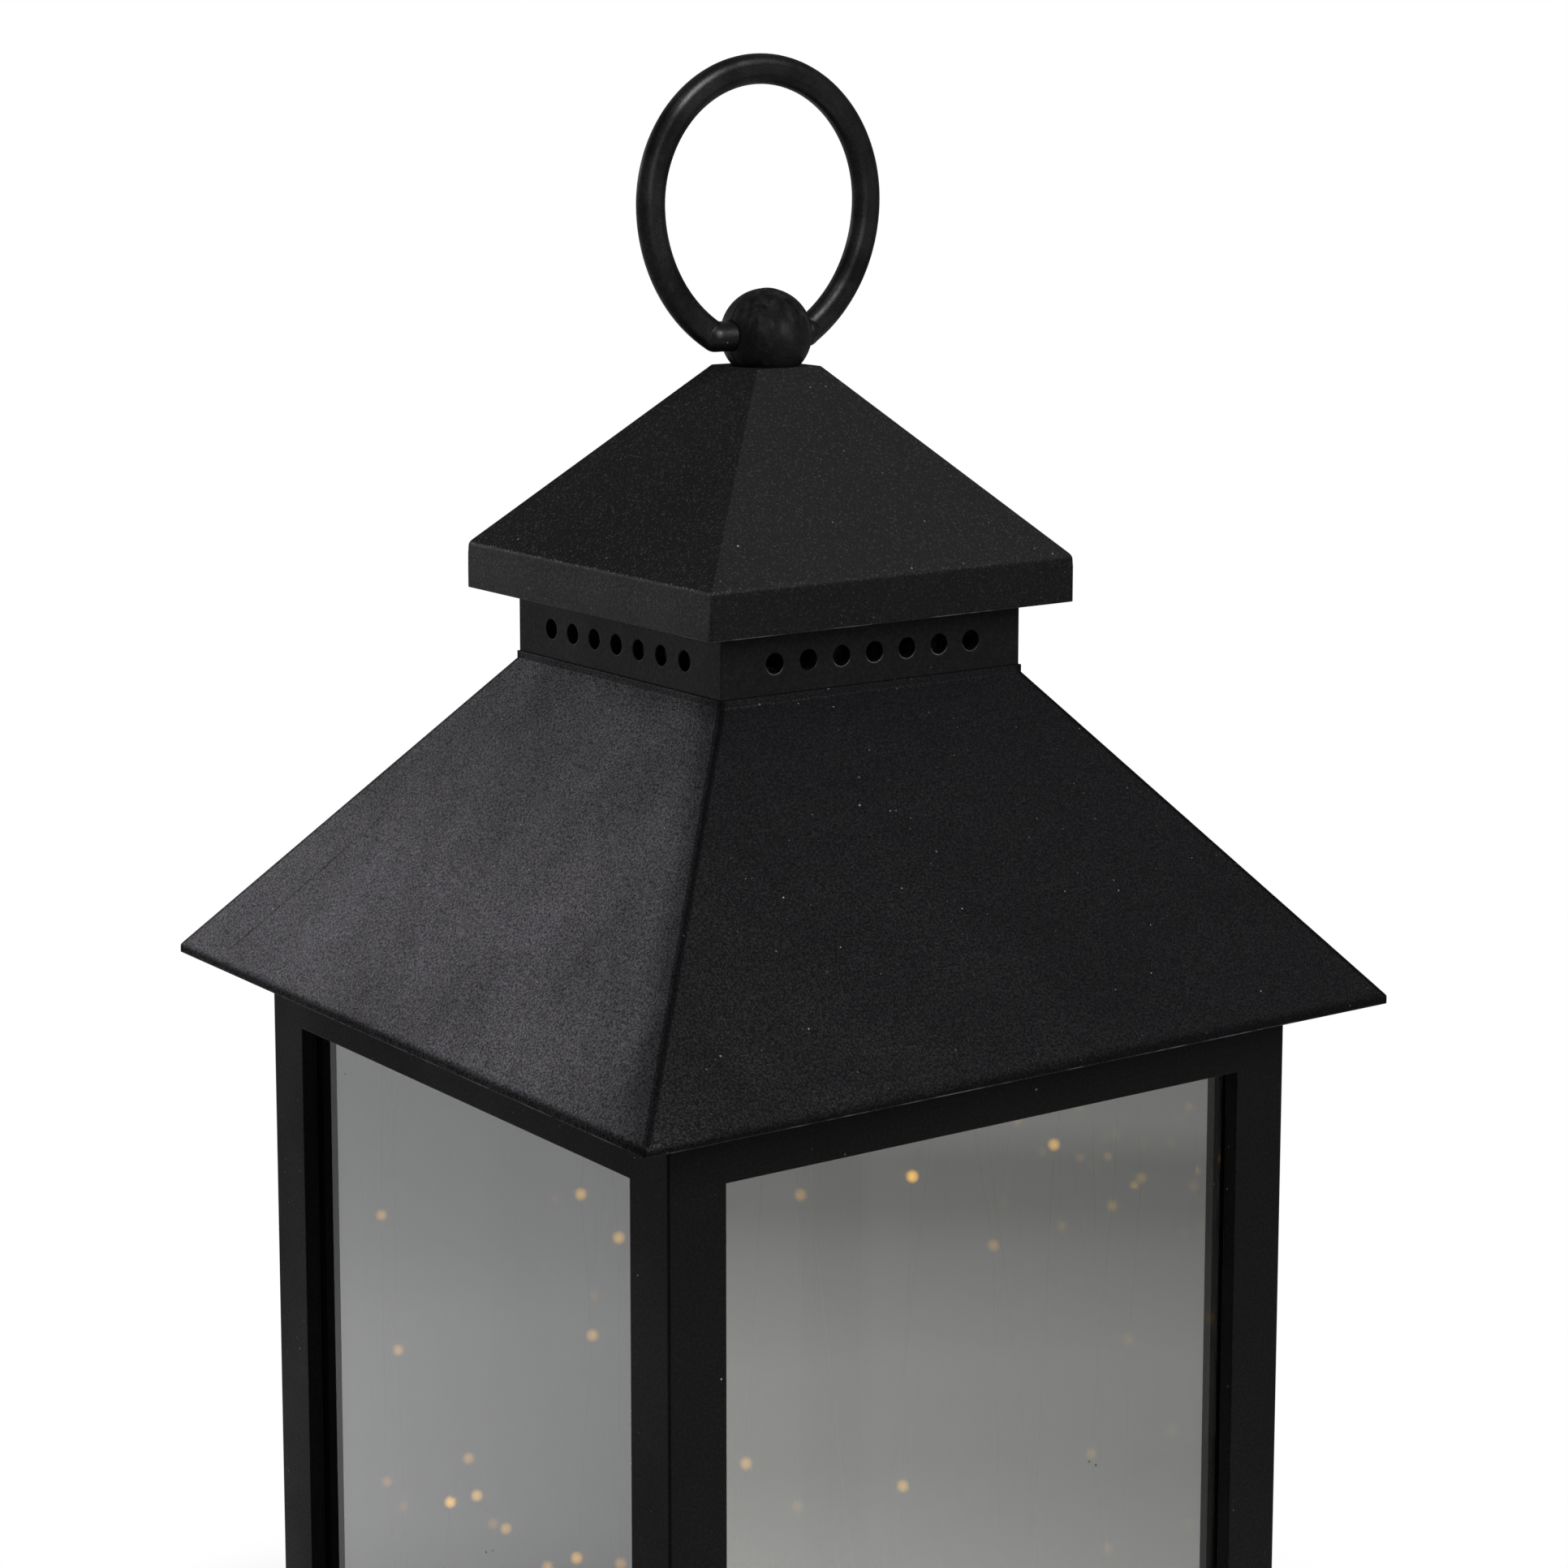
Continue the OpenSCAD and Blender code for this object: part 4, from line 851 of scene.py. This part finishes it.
@dataclass
class Studio:
    """Camera, white surroundings and soft boxes."""

    position: tuple[float, float, float] = (-0.3343, -0.4688, 0.3156)
    yaw: float = 0.6103
    pitch: float = 0.1424
    roll: float = -0.0016
    lens: float = 83.44
    shift: tuple[float, float] = (0.0324, -0.1377)
    half_floor: float = 2.5

    def build(self) -> None:
        """Sets everything round the lantern."""
        self._camera()
        self._world()
        self._floor()
        self._lights()

    def _camera(self) -> None:
        """A long lens, a little above the roof, looking down across the front left corner."""
        forward = Vector((
            math.sin(self.yaw) * math.cos(self.pitch), math.cos(self.yaw) * math.cos(self.pitch),
            -math.sin(self.pitch),
        ))
        right = Vector((math.cos(self.yaw), -math.sin(self.yaw), 0.0))
        up = right.cross(forward)
        right, up = (
            math.cos(self.roll) * right + math.sin(self.roll) * up,
            -math.sin(self.roll) * right + math.cos(self.roll) * up,
        )
        data = bpy.data.cameras.new("camera")
        data.lens = self.lens
        data.sensor_width = 36.0
        data.shift_x, data.shift_y = self.shift
        data.clip_start = 0.02
        made = bpy.data.objects.new("camera", data)
        turn = Matrix((right, up, -forward)).transposed().to_4x4()
        made.matrix_world = Matrix.Translation(self.position) @ turn
        scene = bpy.context.scene
        scene.collection.objects.link(made)
        scene.camera = made
        scene.view_settings.view_transform = "Standard"

    def _world(self) -> None:
        """White to the eye; a dim studio to reflections and light."""
        world = bpy.data.worlds.new("studio")
        bpy.context.scene.world = world
        g = Graph(world)
        rays = g.node("ShaderNodeLightPath")
        x, y, up = g.axes(g.node("ShaderNodeTexCoord").outputs["Generated"])
        level = g.ramp(g.math("MULTIPLY_ADD", up, 0.5, 0.5), SKY)
        behind = g.math("ADD", g.math("MULTIPLY", x, -0.57), g.math("MULTIPLY", y, 0.82))
        level = g.mix(1.0, level, g.math("MULTIPLY_ADD", behind, 0.5, 1.0), "MULTIPLY")
        dim = g.node("ShaderNodeBackground", {"Color": level, "Strength": 1.0})
        white = g.node("ShaderNodeBackground", {"Color": (1, 1, 1, 1), "Strength": 1.0})
        g.finish(g.shader_mix(rays.outputs["Is Camera Ray"], dim.outputs[0], white.outputs[0]),
                 "ShaderNodeOutputWorld")

    def _floor(self) -> None:
        """White sweep: keeps the shadow close to the base, and is plain white farther out."""
        corners = self.half_floor * np.array([[-1, -1, 0], [1, -1, 0], [1, 1, 0], [-1, 1, 0]], float)
        made = Surface.mesh_object("floor", corners, np.array([[0, 1, 2, 3]]))
        material = bpy.data.materials.new("floor_paper")
        g = Graph(material)
        rays = g.node("ShaderNodeLightPath")
        x, y, _ = g.axes(g.place())
        paper = g.node("ShaderNodeBsdfDiffuse", {"Color": linear((238, 238, 236))})
        white = g.node("ShaderNodeEmission", {"Color": (1, 1, 1, 1), "Strength": 1.0})
        radius = g.math("SQRT", g.math("ADD", g.math("MULTIPLY", x, x), g.math("MULTIPLY", y, y)))
        far = g.math("MULTIPLY", g.step(radius, 0.11, 0.20), rays.outputs["Is Camera Ray"])
        beside = g.step(g.math("MAXIMUM", g.math("ABSOLUTE", x), g.math("ABSOLUTE", y)), 0.067, 0.1)
        power = g.product(beside, 0.3, rays.outputs["Is Camera Ray"])
        lift = g.node("ShaderNodeEmission", {"Color": (1, 1, 1, 1), "Strength": power})
        near = g.node("ShaderNodeAddShader", {0: paper.outputs[0], 1: lift.outputs[0]})
        glossy = g.math("MAXIMUM", rays.outputs["Is Glossy Ray"], rays.outputs["Is Transmission Ray"])
        shade = g.shader_mix(glossy, near.outputs[0], self._sweep_seen(g, x, y, radius))
        g.finish(g.shader_mix(far, shade, white.outputs[0]))
        made.data.materials.append(material)

    def _sweep_seen(self, g: Graph, x, y, radius) -> bpy.types.NodeSocket:
        """The sweep as reflections see it: brightness by distance, falling off to the sides."""
        side = g.step(g.math("SUBTRACT", x, y), -0.1, 0.1)
        turn = g.math("DIVIDE", g.math("ABSOLUTE", x), radius)
        front, back = (
            g.math("SUBTRACT", 1.0, g.math("MULTIPLY", g.math("SUBTRACT", turn, at), slope))
            for at, slope in (FALL_FRONT, FALL_BACK)
        )
        fall = g.math("MINIMUM", g.math("MAXIMUM", g.blend(side, back, front), 0.75), 1.25)
        tone = g.mix(side, (1.0, 1.0, 1.04, 1.0), (0.995, 1.0, 0.99, 1.0))
        level = g.product(g.blend(side, g.ramp(radius, FLOOR_BACK), g.ramp(radius, FLOOR_FRONT)), fall)
        return g.node("ShaderNodeEmission", {"Color": tone, "Strength": level}).outputs[0]

    def _lights(self) -> None:
        """Soft boxes where the mouldings' sheen comes from."""
        for box in BOXES:
            box.build(Vector((0.0, 0.0, 0.2)))


# --------------------------------------------------------------------------------------------------
# The whole lantern
# --------------------------------------------------------------------------------------------------
def assemblies() -> list[Assembly]:
    """Every sub-assembly, from the ring down to the feet."""
    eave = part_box("roof_shell")[0][2]
    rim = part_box("cap_shell")[0][2] + COLLAR_H
    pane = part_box("pane_left")
    film_at = abs(pane[1][0]) + 0.5 * abs(pane[1][0] - pane[0][0])
    inner_black = Plastic((15, 15, 15), 0.55, 0.15, 0.6 * MM, 0.01 * MM)
    base_black = Plastic((20, 20, 20), 0.5, 0.2, 0.35 * MM, 0.015 * MM, specks=0.2)
    steel, nickel = Metal(), Metal((190, 188, 178), 0.22)
    cell = Coat((176, 142, 46), 0.25, 0.6, 0.15, 4 * MM)
    return [
        Assembly("ring", {
            "carry_ring": Plastic((11, 11, 11), 0.39, 0.46, 0.4 * MM, 0.02 * MM, 0.8, 12 * MM, specks=0.1,
                                  smudge=0.1),
            "ball_finial": Plastic((16, 16, 16), 0.5, 0.27, 0.5 * MM, 0.02 * MM, 0.8, 9 * MM, specks=0.1,
                                   smudge=0.3),
            "finial_screw": steel,
        }),
        Assembly("cap", {
            # the cap and the collar carry a painted highlight on their upturned edge roundings
            "cap_shell": Plastic((34, 33, 33), 0.8, 0.06, 0.3 * MM, 0.025 * MM, specks=0.12, pits=0.4,
                                 sparkle=0.7, edge_highlight=0.3, lip=(rim, 0.16 * MM), skirt=rim + RIM_H),
            "vent_collar": Plastic((12, 12, 13), 0.42, 0.22, 0.5 * MM, 0.012 * MM, specks=0.1, edge_highlight=1.0),
            "cap_screws": steel,
        }),
        Assembly("roof", {
            "roof_shell": Plastic((18, 17, 19), 0.3, 0.28, 0.33 * MM, 0.035 * MM, 0.35, 55 * MM,
                                  specks=0.12, pits=0.95, warp=0.7 * MM, hips=True, lip=(eave, 0.2 * MM),
                                  scratch=((56 * MM, eave + 2.1 * MM), (37 * MM, eave + 26.7 * MM))),
            "ceiling_plate": inner_black,
            "ceiling_screws": steel,
        }),
        SideFrames("body", {f"frame_{side}": frame_black() for side in SIDES}
                   | {f"pane_{side}": MirrorPane(film_at) for side in SIDES}),
        Assembly("base", {
            "base_tray": base_black, "base_plate": inner_black, "base_screws": steel,
            "rubber_feet": Coat((18, 18, 18), 0.8, 0.3), "battery_door": inner_black,
            "switch_knob": Plastic((30, 30, 30), 0.3, 0.4, 0.5 * MM, 0.004 * MM),
        }),
        Assembly("power", {
            "battery_tray": inner_black, "tray_screws": steel, "battery_1": cell, "battery_2": cell,
            "battery_3": cell, "contact_springs": nickel, "contact_plates": nickel,
            "switch_board": Coat((24, 92, 52), 0.3, 0.6, 0.2, 2 * MM), "timer_chip": Coat((26, 26, 26), 0.4),
            "board_screws": steel, "switch_body": Metal((170, 170, 168), 0.35),
            "wire_grommet": Coat((20, 20, 20), 0.75, 0.3),
        }),
        LightString("lights"),
        Leads("leads"),
    ]


def main() -> None:
    """Builds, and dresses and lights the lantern."""
    logging.basicConfig(level=logging.INFO, format="%(name)s: %(message)s")
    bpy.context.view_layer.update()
    for assembly in assemblies():
        for piece in assembly.build():
            LOG.info("%s: %s", assembly.name, piece.name)
        assembly.dress()
    Studio().build()


if __name__ == "__main__":
    main()
